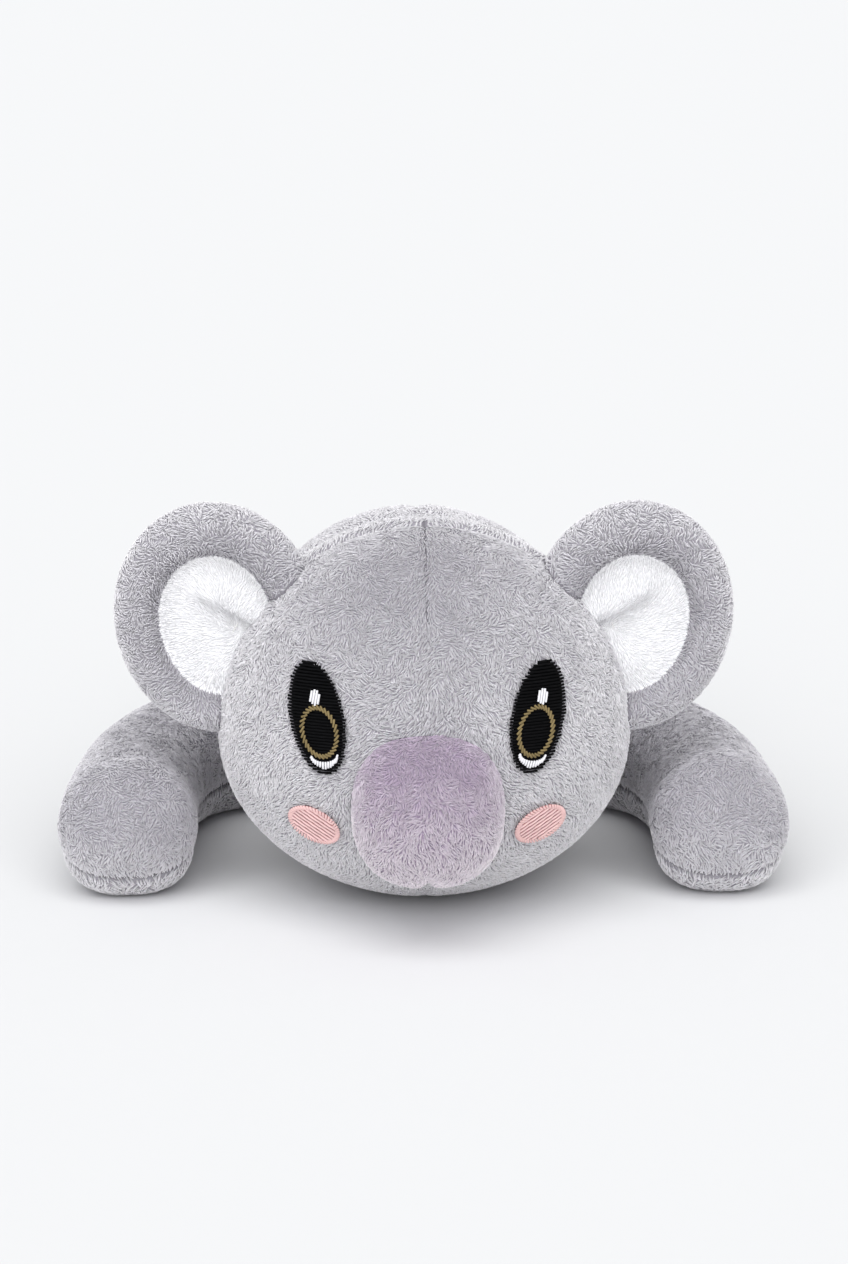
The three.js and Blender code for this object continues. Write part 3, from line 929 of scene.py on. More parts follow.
def backing(name, surface, material):
    """The woven backing under a panel's pile: a closed sheet under the panel's surface"""
    piece = place(name, surface.copy())
    wall = piece.modifiers.new("wall", "SOLIDIFY")
    wall.thickness = settings().cloth.thickness
    wall.offset = -1
    mesh = as_mesh(piece)
    piece.modifiers.clear()
    old, piece.data = piece.data, mesh
    bpy.data.meshes.remove(old)
    mesh.name = name
    for attribute in [a.name for a in mesh.attributes if a.name in ("flow", "calm", "tone_and_painted_light")]:
        mesh.attributes.remove(mesh.attributes[attribute])
    mesh.materials.clear()
    mesh.materials.append(material)
    return piece


# Geometry Nodes

# A tuft of two rings, each with its place along the tuft and its width, and one tip, and how deep it is sunk
TUFT_RINGS = ((0.05, 0.8), (0.74, 0.9))
TUFT_SIDES = 3
TUFT_MIDDLE = 0.34
TUFT_FLATTEN = 3.4
TUFT_TIP = 0.2
ROOT_SHARE = 0.3

# How far single tufts differ from the sizes of their pile, how densely they are tried, and the least height
# of their corners over the floor
LENGTH_RANGE = (0.72, 1.18)
WIDTH_RANGE = (0.8, 1.15)
LIFT_RANGE = (0.5, 1.5)
ROLL = 0.45
PACKING = 3.2
PILE_FLOOR = 0.1 * MM


def pick(sockets, name):
    if isinstance(name, int):
        return sockets[name]
    return next(socket for socket in sockets if socket.name == name and socket.enabled)


def join(tree, kind, inputs=None, **options):
    """Adds a node to a tree, with its options, values and links"""
    node = tree.nodes.new(kind)
    for name, value in options.items():
        setattr(node, name, value)
    for name, value in (inputs or {}).items():
        socket = pick(node.inputs, name)
        if isinstance(value, bpy.types.NodeSocket):
            tree.links.new(value, socket)
        else:
            socket.default_value = value
    return node


class Tree:
    """A Geometry Nodes tree with named inputs"""

    def __init__(self, name, sockets):
        self.tree = bpy.data.node_groups.new(name, "GeometryNodeTree")
        face = self.tree.interface
        for label, kind in [("Geometry", "NodeSocketGeometry"), *sockets]:
            face.new_socket(label, in_out="INPUT", socket_type=kind)
        face.new_socket("Geometry", in_out="OUTPUT", socket_type="NodeSocketGeometry")
        self.start = self.tree.nodes.new("NodeGroupInput")
        self.end = self.tree.nodes.new("NodeGroupOutput")

    def value(self, name):
        return pick(self.start.outputs, name)

    def node(self, kind, inputs=None, **options):
        return join(self.tree, kind, inputs, **options)

    def out(self, kind, inputs=None, output=0, **options):
        return pick(self.node(kind, inputs, **options).outputs, output)

    def maths(self, operation, *values):
        return self.out("ShaderNodeMath", dict(enumerate(values)), operation=operation)

    def vector(self, operation, *values):
        name = "Value" if operation == "DOT_PRODUCT" else "Vector"
        return self.out("ShaderNodeVectorMath", dict(enumerate(values)), name, operation=operation)

    def scaled(self, vector, by):
        return self.out("ShaderNodeVectorMath", {0: vector, "Scale": by}, "Vector", operation="SCALE")

    def random(self, low, high, salt):
        seed = self.maths("ADD", self.value("Seed"), salt)
        return self.out("FunctionNodeRandomValue", {"Min": low, "Max": high, "Seed": seed}, "Value")

    def attribute(self, name, kind="FLOAT"):
        return self.out("GeometryNodeInputNamedAttribute", {"Name": name}, "Attribute", data_type=kind)

    def keep(self, geometry, name, value, kind="FLOAT", domain="INSTANCE"):
        """Stores a value with each part of the geometry"""
        inputs = {"Geometry": geometry, "Name": name, "Value": value}
        return self.out("GeometryNodeStoreNamedAttribute", inputs, "Geometry", data_type=kind, domain=domain)

    def realized(self, geometry):
        return self.out("GeometryNodeRealizeInstances", {"Geometry": geometry}, "Geometry")

    def finish(self, geometry):
        """Ends the tree with smooth faces of the given material"""
        smooth = self.out("GeometryNodeSetShadeSmooth", {"Geometry": geometry}, "Geometry")
        coloured = {"Geometry": smooth, "Material": self.value("Material")}
        self.tree.links.new(self.out("GeometryNodeSetMaterial", coloured, "Geometry"), self.end.inputs[0])
        return self.tree


def run_tree(tree, name, mesh, values):
    """Runs a tree on a mesh and returns what it makes as a plain piece"""
    work = place(f"{name}_guide", mesh)
    modifier = work.modifiers.new("nodes", "NODES")
    modifier.node_group = tree
    for socket in tree.interface.items_tree:
        if socket.name in values:
            modifier[socket.identifier] = values[socket.name]
    made = as_mesh(work)
    discard(work)
    return place(name, made)


def tuft_mesh():
    """One tuft, 1 long and 1 wide, with its root a little behind the place where it stands"""
    points, along, around = [], [], []
    for at, wide in TUFT_RINGS:
        for k in range(TUFT_SIDES):
            angle = 2 * math.pi * k / TUFT_SIDES + math.pi / 2
            up = TUFT_MIDDLE + wide / TUFT_FLATTEN * math.sin(angle)
            points.append((at - ROOT_SHARE, wide / 2 * math.cos(angle), up))
            along.append(at)
            around.append(k / TUFT_SIDES)
    tip = len(points)
    points.append((1 - ROOT_SHARE, 0, TUFT_TIP))
    along.append(1.0)
    around.append(0.5)
    faces = [(2, 1, 0)]
    for k in range(TUFT_SIDES):
        after = (k + 1) % TUFT_SIDES
        faces += [(k, after, after + TUFT_SIDES, k + TUFT_SIDES), (tip, k + TUFT_SIDES, after + TUFT_SIDES)]
    mesh = bpy.data.meshes.new("tuft")
    mesh.from_pydata(points, [], faces)
    bm = bmesh.new()
    bm.from_mesh(mesh)
    bmesh.ops.recalc_face_normals(bm, faces=bm.faces[:])
    bmesh.ops.triangulate(bm, faces=bm.faces[:])
    bm.to_mesh(mesh)
    bm.free()
    store(mesh, "along", along)
    store(mesh, "around", around)
    return mesh


def pile_points(made):
    """Evenly scattered points on a surface, but not on its bare places"""
    spacing = made.value("Spacing")
    dense = made.maths("DIVIDE", PACKING, made.maths("MULTIPLY", spacing, spacing))
    surface = {"Mesh": made.value("Geometry"), "Distance Min": spacing, "Density Max": dense}
    surface["Seed"] = made.value("Seed")
    scatter = made.node("GeometryNodeDistributePointsOnFaces", surface, distribute_method="POISSON")
    normal = pick(scatter.outputs, "Normal")
    points = made.keep(pick(scatter.outputs, "Points"), "outward", normal, "FLOAT_VECTOR", "POINT")
    covered = {"A": made.attribute("bare"), "B": 0.0}
    hidden = made.out("FunctionNodeCompare", covered, "Result", data_type="FLOAT", operation="GREATER_THAN")
    gone = {"Geometry": points, "Selection": hidden}
    return made.out("GeometryNodeDeleteGeometry", gone, "Geometry", domain="POINT")


def tuft_way(made, outward):
    """The way each tuft points: along the flow, turned with its cluster and a little by itself"""
    flow = made.attribute("flow", "FLOAT_VECTOR")
    upright = made.scaled(outward, made.vector("DOT_PRODUCT", flow, outward))
    lying = made.vector("NORMALIZE", made.vector("SUBTRACT", flow, upright))
    cells = {"Vector": made.out("GeometryNodeInputPosition")}
    cells["Scale"] = made.maths("DIVIDE", 1.0, made.value("Cluster"))
    own_colour = made.out("ShaderNodeTexVoronoi", cells, "Color")
    which = made.out("ShaderNodeSeparateXYZ", {"Vector": own_colour}, "X")
    eager = made.maths("MULTIPLY_ADD", made.attribute("calm"), -2.0, 2.0)
    loose = made.maths("MULTIPLY", made.value("Turn"), eager)
    turn = made.maths("MULTIPLY", made.maths("SUBTRACT", which, 0.5), loose)
    stray = made.maths("MULTIPLY", made.random(-1.0, 1.0, 1), made.value("Stray"))
    turned = {"Vector": lying, "Axis": outward, "Angle": made.maths("ADD", turn, stray)}
    lying = made.out("ShaderNodeVectorRotate", turned, "Vector")
    lift = made.maths("MULTIPLY", made.random(*LIFT_RANGE, 2), made.value("Lift"))
    ahead = made.scaled(lying, made.maths("COSINE", lift))
    return made.vector("ADD", ahead, made.scaled(outward, made.maths("SINE", lift)))


def standing_tufts(made, points, outward, way):
    """A tuft on every point, each with its own length, width and roll"""
    axes = {"Primary Axis": way, "Secondary Axis": outward}
    rotation = made.out("FunctionNodeAxesToRotation", axes, "Rotation", primary_axis="X", secondary_axis="Z")
    own_roll = {"Axis": (1, 0, 0), "Angle": made.random(-ROLL, ROLL, 3)}
    roll = made.out("FunctionNodeAxisAngleToRotation", own_roll, "Rotation")
    both = {"Rotation": rotation, "Rotate By": roll}
    rotation = made.out("FunctionNodeRotateRotation", both, "Rotation", rotation_space="LOCAL")
    length = made.maths("MULTIPLY", made.value("Length"), made.random(*LENGTH_RANGE, 4))
    own = made.random(*WIDTH_RANGE, 5)
    width, height = (made.maths("MULTIPLY", made.value(name), own) for name in ("Width", "Height"))
    scale = made.out("ShaderNodeCombineXYZ", {"X": length, "Y": width, "Z": height}, "Vector")
    tuft = made.out("GeometryNodeObjectInfo", {"Object": made.value("Tuft")}, "Geometry")
    placed = {"Points": points, "Instance": tuft, "Rotation": rotation, "Scale": scale}
    return made.out("GeometryNodeInstanceOnPoints", placed, "Instances")


def baked_places(made, tufts, columns):
    """Gives each tuft a place of its own in the map that its material is baked to"""
    cell = made.attribute("cell", "INT")
    column = made.maths("MODULO", cell, columns)
    row = made.maths("FLOOR", made.maths("DIVIDE", made.maths("ADD", cell, 0.5), columns))
    across = made.maths("MULTIPLY_ADD", made.attribute("around"), 0.9, 0.15)
    up = made.maths("MULTIPLY_ADD", made.attribute("along"), 0.8, 0.1)
    u = made.maths("DIVIDE", made.maths("ADD", column, across), columns)
    v = made.maths("DIVIDE", made.maths("ADD", row, up), columns)
    spot = made.out("ShaderNodeCombineXYZ", {"X": u, "Y": v}, "Vector")
    return made.keep(tufts, "OFBake", spot, "FLOAT2", "CORNER")


def bowed(made, tufts):
    """Bends each tuft sideways at its middle"""
    along = made.attribute("along")
    bow = made.maths("MULTIPLY", along, made.maths("MULTIPLY_ADD", along, -4.0, 4.0))
    offset = made.scaled(made.attribute("bend", "FLOAT_VECTOR"), bow)
    return made.out("GeometryNodeSetPosition", {"Geometry": tufts, "Offset": offset}, "Geometry")


def over_floor(made, tufts):
    """Lifts what would reach into the floor"""
    parts = made.node("ShaderNodeSeparateXYZ", {"Vector": made.out("GeometryNodeInputPosition")})
    place_of = {name: parts.outputs[name] for name in "XY"}
    place_of["Z"] = made.maths("MAXIMUM", parts.outputs["Z"], PILE_FLOOR)
    position = made.out("ShaderNodeCombineXYZ", place_of, "Vector")
    return made.out("GeometryNodeSetPosition", {"Geometry": tufts, "Position": position}, "Geometry")


def pile_tree():
    """Tufts all over a surface, lying in clusters along its flow"""
    made = Tree("Pile", [
        ("Tuft", "NodeSocketObject"), *((name, "NodeSocketFloat") for name in PILE_INPUTS.values()),
        ("Seed", "NodeSocketInt"), ("Material", "NodeSocketMaterial"),
    ])
    points = pile_points(made)
    outward = made.attribute("outward", "FLOAT_VECTOR")
    way = tuft_way(made, outward)
    tufts = made.keep(standing_tufts(made, points, outward, way), "shade", made.random(0.0, 1.0, 6))
    bend = made.maths("MULTIPLY", made.random(-1.0, 1.0, 7), made.value("Width"))
    sideways = made.scaled(made.vector("CROSS_PRODUCT", outward, way), bend)
    tufts = made.keep(tufts, "bend", sideways, "FLOAT_VECTOR")
    tufts = made.keep(tufts, "cell", made.out("GeometryNodeInputIndex"), "INT")
    of_instances = {"component": "INSTANCES"}
    count = made.out("GeometryNodeAttributeDomainSize", {"Geometry": tufts}, "Instance Count", **of_instances)
    columns = made.maths("CEIL", made.maths("SQRT", count))
    real = baked_places(made, made.realized(tufts), columns)
    real = over_floor(made, bowed(made, real))
    for name in ("flow", "bare", "calm", "outward", "cell", "around", "bend"):
        real = made.out("GeometryNodeRemoveAttribute", {"Geometry": real, "Name": name}, "Geometry")
    return made.finish(real)


def thread_tree():
    """Round threads along the edges of a mesh"""
    made = Tree("Threads", [
        ("Thickness", "NodeSocketFloat"), ("Sides", "NodeSocketInt"), ("Seed", "NodeSocketInt"),
        ("Material", "NodeSocketMaterial"),
    ])
    curves = made.out("GeometryNodeMeshToCurve", {"Mesh": made.value("Geometry")}, "Curve")
    circle = {"Resolution": made.value("Sides"), "Radius": made.maths("DIVIDE", made.value("Thickness"), 2.0)}
    ring = made.out("GeometryNodeCurvePrimitiveCircle", circle, "Curve")
    tube = {"Curve": curves, "Profile Curve": ring, "Fill Caps": True}
    threads = made.out("GeometryNodeCurveToMesh", tube, "Mesh")
    island = made.out("GeometryNodeInputMeshIsland", {}, "Island Index")
    own = made.out("FunctionNodeRandomValue", {"ID": island, "Seed": made.value("Seed")}, "Value")
    return made.finish(made.realized(made.keep(threads, "shade", own, domain="POINT")))


# Materials


def new_material(name):
    """A material of the koala's own, made once"""
    name = f"koala_{name}"
    material = bpy.data.materials.get(name)
    if material:
        return material, None, None
    material = bpy.data.materials.new(name)
    material.use_nodes = True
    tree = material.node_tree
    shader = tree.nodes["Principled BSDF"]
    return material, tree, shader


def mix(tree, factor, a, b, blend="MIX"):
    node = tree.nodes.new("ShaderNodeMix")
    node.data_type = "RGBA"
    node.blend_type = blend
    for name, value in (("Factor", factor), ("A", a), ("B", b)):
        socket = pick(node.inputs, name)
        if isinstance(value, bpy.types.NodeSocket):
            tree.links.new(value, socket)
        elif isinstance(value, (int, float)):
            socket.default_value = value
        else:
            socket.default_value = (*value, 1)
    return pick(node.outputs, "Result")


def attribute(tree, name):
    return join(tree, "ShaderNodeAttribute", attribute_name=name).outputs["Fac"]


def scaled_noise(tree, scale, detail=2.0):
    place_of = tree.nodes.new("ShaderNodeTexCoord").outputs["Object"]
    inputs = {"Vector": place_of, "Scale": scale, "Detail": detail}
    return join(tree, "ShaderNodeTexNoise", inputs).outputs["Fac"]


def spread(tree, value, low, high):
    """A value from 0 to 1 as one from low to high"""
    return join(tree, "ShaderNodeMapRange", {"Value": value, "To Min": low, "To Max": high}).outputs[0]


def combine(tree, operation, a, b):
    return join(tree, "ShaderNodeMath", {0: a, 1: b}, operation=operation).outputs[0]


def toned(tone, by):
    """The same colour, lighter or darker"""
    return tuple(min(1, c * by) for c in tone)


def add_bump(tree, shader, height, strength, distance):
    relief = {"Height": height, "Strength": strength, "Distance": distance}
    tree.links.new(join(tree, "ShaderNodeBump", relief).outputs[0], shader.inputs["Normal"])


def set_inputs(shader, values):
    for name, value in values.items():
        shader.inputs[name].default_value = value


def pile_material(name, tip, pale, root, vary, glow):
    """Tufts that are darker at the root, each with its own shade"""
    material, tree, shader = new_material(name)
    if tree is None:
        return material
    # The tip, between its colour in painted shade and its copy painted lit, as painted light and the pile's
    # own tone call for
    body = mix(tree, attribute(tree, "tone_and_painted_light"), tip, pale)
    # Darker toward the root: painted shade between the tufts
    rise = combine(tree, "POWER", attribute(tree, "along"), 0.6)
    shade = mix(tree, rise, root, body)
    own = spread(tree, attribute(tree, "shade"), 1 - vary, 1 + vary)
    broad = spread(tree, scaled_noise(tree, scale=55), 1 - vary / 2, 1 + vary / 2)
    both = combine(tree, "MULTIPLY", own, broad)
    grey = join(tree, "ShaderNodeCombineColor", {"Red": both, "Green": both, "Blue": both}).outputs[0]
    tree.links.new(mix(tree, 1.0, shade, grey, "MULTIPLY"), shader.inputs["Base Color"])
    set_inputs(shader, {
        "Roughness": 0.82, "Specular IOR Level": 0.2, "Sheen Weight": 0.2, "Sheen Roughness": 0.45,
        "Subsurface Weight": glow, "Subsurface Radius": (1, 1, 1), "Subsurface Scale": 1.0 * MM,
    })
    return material


def backing_material(name, tone):
    """Knitted backing, finely uneven, seen between the tufts and darker in the seams"""
    material, tree, shader = new_material(name)
    if tree is None:
        return material
    fine = scaled_noise(tree, scale=900, detail=3.0)
    # Painted shade in the bare seams, where the backing shows
    near_seam = {"Value": attribute(tree, "bare"), "From Min": -0.4, "From Max": 1.2}
    seam = join(tree, "ShaderNodeMapRange", near_seam).outputs[0]
    body = mix(tree, fine, toned(tone, 0.72), tone)
    tree.links.new(mix(tree, seam, body, toned(tone, 0.3)), shader.inputs["Base Color"])
    add_bump(tree, shader, fine, strength=0.6, distance=0.3 * MM)
    set_inputs(shader, {"Roughness": 0.95, "Specular IOR Level": 0.1})
    return material


def fibre_material(name, tone):
    """Loose polyester fibre"""
    material, tree, shader = new_material(name)
    if tree is None:
        return material
    soft = scaled_noise(tree, scale=260, detail=6.0)
    tree.links.new(mix(tree, soft, toned(tone, 0.85), tone), shader.inputs["Base Color"])
    add_bump(tree, shader, soft, strength=0.8, distance=1.0 * MM)
    set_inputs(shader, {"Roughness": 0.9, "Sheen Weight": 0.5})
    return material


def thread_material(name, tone, vary, shine=0.06):
    """Embroidery thread with a slight sheen and fine twist"""
    material, tree, shader = new_material(name)
    if tree is None:
        return material
    fine = scaled_noise(tree, scale=1400)
    own = combine(tree, "ADD", attribute(tree, "shade"), fine)
    half = combine(tree, "MULTIPLY", own, 0.5)
    tree.links.new(mix(tree, half, toned(tone, 1 - vary), toned(tone, 1 + vary)), shader.inputs["Base Color"])
    add_bump(tree, shader, fine, strength=0.35, distance=0.1 * MM)
    tree.links.new(spread(tree, fine, 0.55, 0.75), shader.inputs["Roughness"])
    set_inputs(shader, {"Specular IOR Level": shine})
    return material


def floor_material(tone, light):
    """The floor, in one tone to the camera and in another to the light that it throws back"""
    material, tree, shader = new_material("floor")
    if tree is None:
        return material
    seen = tree.nodes.new("ShaderNodeLightPath").outputs["Is Camera Ray"]
    tree.links.new(mix(tree, seen, light, tone), shader.inputs["Base Color"])
    set_inputs(shader, {"Roughness": 1, "Specular IOR Level": 0})
    return material


# Sewing: from a form to its panels, with their backing and pile


def hinge(piece, parent, child, start, end):
    """Cloth that is sewn across a joint bends there"""
    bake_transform(piece, parent, child, start=tuple(start), end=tuple(end))


def with_head(piece):
    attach(piece, "head")


def at_neck(piece):
    hinge(piece, "torso", "head", *NECK_BEND)


def at_ear(ear, end):
    start, stop = (ear.seat + ear.along * reach for reach in EAR_BEND)
    return lambda piece: hinge(piece, "head", f"ear_{end}", start, stop)


def at_limb(limb, body):
    start, stop = (limb.root + Vector((limb.side * reach, 0, 0)) for reach in LIMB_BEND)
    return lambda piece: hinge(piece, "torso", body, start, stop)


def look(kind):
    """The sizes and materials of one kind of plush"""
    s, c = settings(), settings().colours
    # Each kind lists the tip colours that painted light and shade mix between, the roots and the backing,
    # both darkened as painted shade, and how much tufts vary and let light through
    grey = ("grey", c.grey, c.grey_painted_lit, c.grey_root_painted_shade, c.grey_cloth_painted_shade, PILE_VARY, PILE_GLOW)
    mauve = ("mauve", c.mauve, c.mauve_painted_lit, c.mauve_root_painted_shade, c.mauve_cloth_painted_shade, PILE_VARY, PILE_GLOW)
    white = ("white", c.white, c.white, c.white_root, c.white_cloth_painted_shade, LINING_VARY, LINING_GLOW)
    kinds = {
        "body": (s.body_pile, *grey), "face": (s.face_pile, *grey), "rear": (s.rear_pile, *grey),
        "nose": (s.nose_pile, *mauve), "lining": (s.lining_pile, *white),
    }
    sizes, name, tip, pale, root, under, vary, glow = kinds[kind]
    return {
        "sizes": sizes, "slot": f"{name}_plush",
        "pile": pile_material(f"{name}_pile", tuple(tip), tuple(pale), tuple(root), vary, glow),
        "backing": backing_material(f"{name}_backing", tuple(under)),
    }


def nothing(points):
    return np.zeros(len(points))


def sew(node, surface, kind, moves, flow, bare, tone_and_painted_light=nothing, calm=nothing):
    """A panel of plush: its backing, which stands for the frame's node, and its pile"""
    plush = look(kind)
    points = corners_of(surface)
    store(surface, "flow", flow(points), "FLOAT_VECTOR")
    for name, values in (("bare", bare), ("tone_and_painted_light", tone_and_painted_light), ("calm", calm)):
        store(surface, name, values(points))
    cloth = backing(f"{node}_backing", surface, plush["backing"])
    sizes = plush["sizes"]
    tree = bpy.data.node_groups.get("Pile") or pile_tree()
    tuft = place("tuft", tuft_mesh())
    inputs = {name: getattr(sizes, field) for field, name in PILE_INPUTS.items()}
    inputs.update({"Tuft": tuft, "Seed": sizes.seed, "Material": plush["pile"]})
    pile = run_tree(tree, f"{node}_pile", surface, inputs)
    discard(tuft)
    if not pile.data.polygons:
        raise RuntimeError(f"{node} got no pile")
    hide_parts(node)
    for piece in (cloth, pile):
        moves(piece)


# How the pile lies


def swirled(points, outward, flow, swirl):
    """Turns a flow about the surface's normal by soft noise, so that the pile swirls"""
    size, amount, seed = SWIRLS[swirl]
    angle = (wander(points, size, seed) * amount)[:, None]
    outward = outward / np.linalg.norm(outward, axis=1, keepdims=True)
    lying = flow - outward * (flow * outward).sum(axis=1, keepdims=True)
    lying /= np.maximum(np.linalg.norm(lying, axis=1, keepdims=True), TINY)
    return lying * np.cos(angle) + np.cross(outward, lying) * np.sin(angle)


def blotches(points, kind):
    """Soft pale and dark patches of the pile"""
    amount, size, seed = BLOTCHES[kind]
    return amount * wander(points, size, seed)


def smooth_below(points, low, high, bottom, top):
    """Calm, so that the pile is brushed smooth at the bottom and curly at the top"""
    return low + (high - low) * eased(ramp(points[:, 2], top, bottom))


# Painted light: a panel painted paler than its neighbours
def painted_lighter(tone_and_painted_light, by):
    return lambda points: tone_and_painted_light(points) + by


def within(egg, points, share):
    """Above 0 where points are inside a share of an egg, about 1 for each mm"""
    return (share - egg.depth(points)) * EGG_SIZE


def oval_value(x, up, oval):
    """Below 0 inside a leaning oval in the view from the front"""
    cx, cup, a, b, lean = oval
    dx, dup = x - cx, up - cup
    across = (dx * math.cos(lean) + dup * math.sin(lean)) / a
    tall = (-dx * math.sin(lean) + dup * math.cos(lean)) / b
    return np.hypot(across, tall) - 1


def leaning_oval(shape, side, lean, grow):
    """The middle, half sizes and lean of a shape in the view from the front"""
    half_width, half_height = shape["half_width"] + grow, shape["half_height"] + grow
    return side * shape["across"], shape["up"], half_width, half_height, lean


def eye_oval(side, grow=0.0):
    return leaning_oval(EYE, side, -side * EYE_LEAN, grow)


def cheek_oval(side, grow=0.0):
    return leaning_oval(CHEEK, side, side * CHEEK_LEAN, grow)


def stitched_ovals(grow=0.0):
    return [shape(side, grow) for side, _ in SIDES for shape in (eye_oval, cheek_oval)]


def front_view(points):
    away = points - HEAD.middle
    return away[:, 0], away[:, 2]


# Head


def head_held(points):
    """Distance from the ear-to-ear seam, or from the embroidery on the face"""
    x, up = front_view(points)
    values = np.array([oval_value(x, up, oval) * OVAL_SIZE * MM for oval in stitched_ovals()])
    stitched = np.where(points[:, 1] < EAR_SEAM, np.maximum(values.min(axis=0), 0), FAR)
    return np.minimum(stitched, np.abs(points[:, 1] - EAR_SEAM))


def head_furrow(points):
    """Deeper at the ear-to-ear seam than at the middle seams, which don't show near the nose"""
    away = points - HEAD.middle
    across = groove(points[:, 1] - EAR_SEAM, "ear_to_ear")
    middle = groove(points[:, 0], "head_middle")
    shows = ramp(np.abs(away[:, 2]), 24 * MM, 36 * MM) * np.where(away[:, 2] < 0, 0.6, 1)
    return np.maximum(across, middle * np.where(away[:, 1] < 0, shows, 1))


def head_bare(points):
    """No pile grows under the embroidery, the nose, the ears and the neck, or in the seams"""
    x, up = front_view(points)
    cover = [-OVAL_SIZE * oval_value(x, up, oval) for oval in stitched_ovals(0.1 * MM)]
    hidden = np.where(points[:, 1] < EAR_SEAM, np.max(cover, axis=0), -1.0)
    crown = np.where(points[:, 2] > HEAD.middle[2] + CROWN_START, np.abs(points[:, 0]), FAR)
    hidden = np.maximum(hidden, within(NOSE, points, UNDER_NOSE))
    hidden = np.maximum(hidden, within(TORSO, points, NECK_UNDER_TORSO))
    hidden = np.maximum(hidden, BARE_EAR_SEAM - np.abs(points[:, 1] - EAR_SEAM) / MM)
    hidden = np.maximum(hidden, BARE_CROWN - crown / MM)
    for side, _ in SIDES:
        hidden = np.where(Ear(side).covers(points), 1.0, hidden)
    return hidden


def face_flow(points):
    """Down the face and away from the nose"""
    away = points - NOSE.middle
    near = np.exp(-np.linalg.norm(away, axis=1, keepdims=True) / (22 * MM))
    flow = DOWN + away / (60 * MM) * ACROSS + away / (16 * MM) * near
    return swirled(points, HEAD.outward(points), flow, "face")


def head_back_flow(points):
    return swirled(points, HEAD.outward(points), BACK_AND_DOWN["head"], "head_back")


def head_tone_and_painted_light(points):
    """Paler low down, at the sides and at the crown"""
    away = points - HEAD.middle
    sides = np.abs(away[:, 0]) / (110 * MM)
    tone = np.clip(0.7 + sides - away[:, 2] / (72 * MM) + blotches(points, "head"), 0, 1)
    near = ramp(points[:, 1], EAR_SEAM - 20 * MM, EAR_SEAM)
    return tone + 0.5 * near * ramp(away[:, 2], 20 * MM, 40 * MM)


def head_calm(points):
    """Smooth low down and along the seams"""
    level = HEAD.middle[2]
    low = smooth_below(points, 0.0, 0.68, level - 6 * MM, level + 34 * MM)
    top = np.where(points[:, 2] > level, np.abs(points[:, 0]), FAR)
    seam = np.minimum(np.abs(points[:, 1] - EAR_SEAM), top)
    near = np.minimum(ramp(seam, 4.2 * MM, 1.2 * MM), 0.95)
    return np.maximum(np.where(points[:, 1] < EAR_SEAM, low, 0.3), near)


def build_head():
    cloth = settings().cloth
    bm = egg_form(HEAD.grown(-cloth.under - cloth.swell), cloth.grid)
    form = stuffed(bm, "head", head_held, head_furrow)
    cuts = (((0, EAR_SEAM, 0), (0, 1, 0)), MIDDLE_CUT)
    # The back of the head is painted paler still, as painted light
    pale = painted_lighter(head_tone_and_painted_light, 0.3)
    for side, end in SIDES:
        front = panel(form, cuts, lambda m, side=side: (m[:, 1] < EAR_SEAM) & (m[:, 0] * side > 0))
        sew(f"face_{end}", front, "face", with_head, face_flow, head_bare, head_tone_and_painted_light, head_calm)
        rear = panel(form, cuts, lambda m, side=side: (m[:, 1] > EAR_SEAM) & (m[:, 0] * side > 0))
        sew(f"head_back_{end}", rear, "rear", with_head, head_back_flow, head_bare, pale, head_calm)


# Nose


def nose_form():
    """A dome that is squarer than an egg"""
    cloth = settings().cloth
    under = NOSE.grown(-0.5 * cloth.swell)
    under.high[2] += NOSE_FULLER
    under.low[2] += 0.8 * NOSE_FULLER
    bm = egg_form(under, cloth.grid * NOSE_GRID)
    for corner in bm.verts:
        away = np.array(corner.co) - under.middle
        x, up = np.abs(away / under.reach(away))[[0, 2]]
        square = (x**NOSE_SQUARE + up**NOSE_SQUARE) ** (1 / NOSE_SQUARE)
        away[[0, 2]] *= math.hypot(x, up) / max(square, TINY)
        corner.co = under.middle + away
    return trim(bm, HEAD, cloth.sink)


def nose_held(points):
    """Nowhere but at its open edge"""
    return np.full(len(points), FAR)


def nose_furrow(points):
    """The dimple at the foot of the nose"""
    away = points - NOSE.middle
    across = away[:, 0] / DIMPLE["half_width"]
    up = (away[:, 2] + NOSE.low[2]) / DIMPLE["half_height"]
    return DIMPLE["depth"] * np.exp(-across**2 - up**2)


def nose_flow(points):
    """Down, and out at the sides"""
    away = (points - NOSE.middle) / NOSE.high[0]
    return swirled(points, NOSE.outward(points), DOWN + 0.9 * away * ACROSS, "nose")


def nose_bare(points):
    return within(HEAD, points, 1.0)


def nose_tone_and_painted_light(points):
    """Paler low down and at the edge"""
    away = (points - NOSE.middle) / NOSE.high[0]
    edge = np.hypot(away[:, 0], away[:, 2]) ** 4
    return np.clip(0.54 - 0.85 * away[:, 2] + 0.15 * edge + blotches(points, "nose"), 0, 1)


def nose_calm(points):
    level = NOSE.middle[2]
    return smooth_below(points, 0.1, 0.6, level - 10 * MM, level + 12 * MM)


def build_nose():
    form = stuffed(nose_form(), "nose", nose_held, nose_furrow)
    sew("nose_cover", form, "nose", with_head, nose_flow, nose_bare, nose_tone_and_painted_light, nose_calm)


# Ears


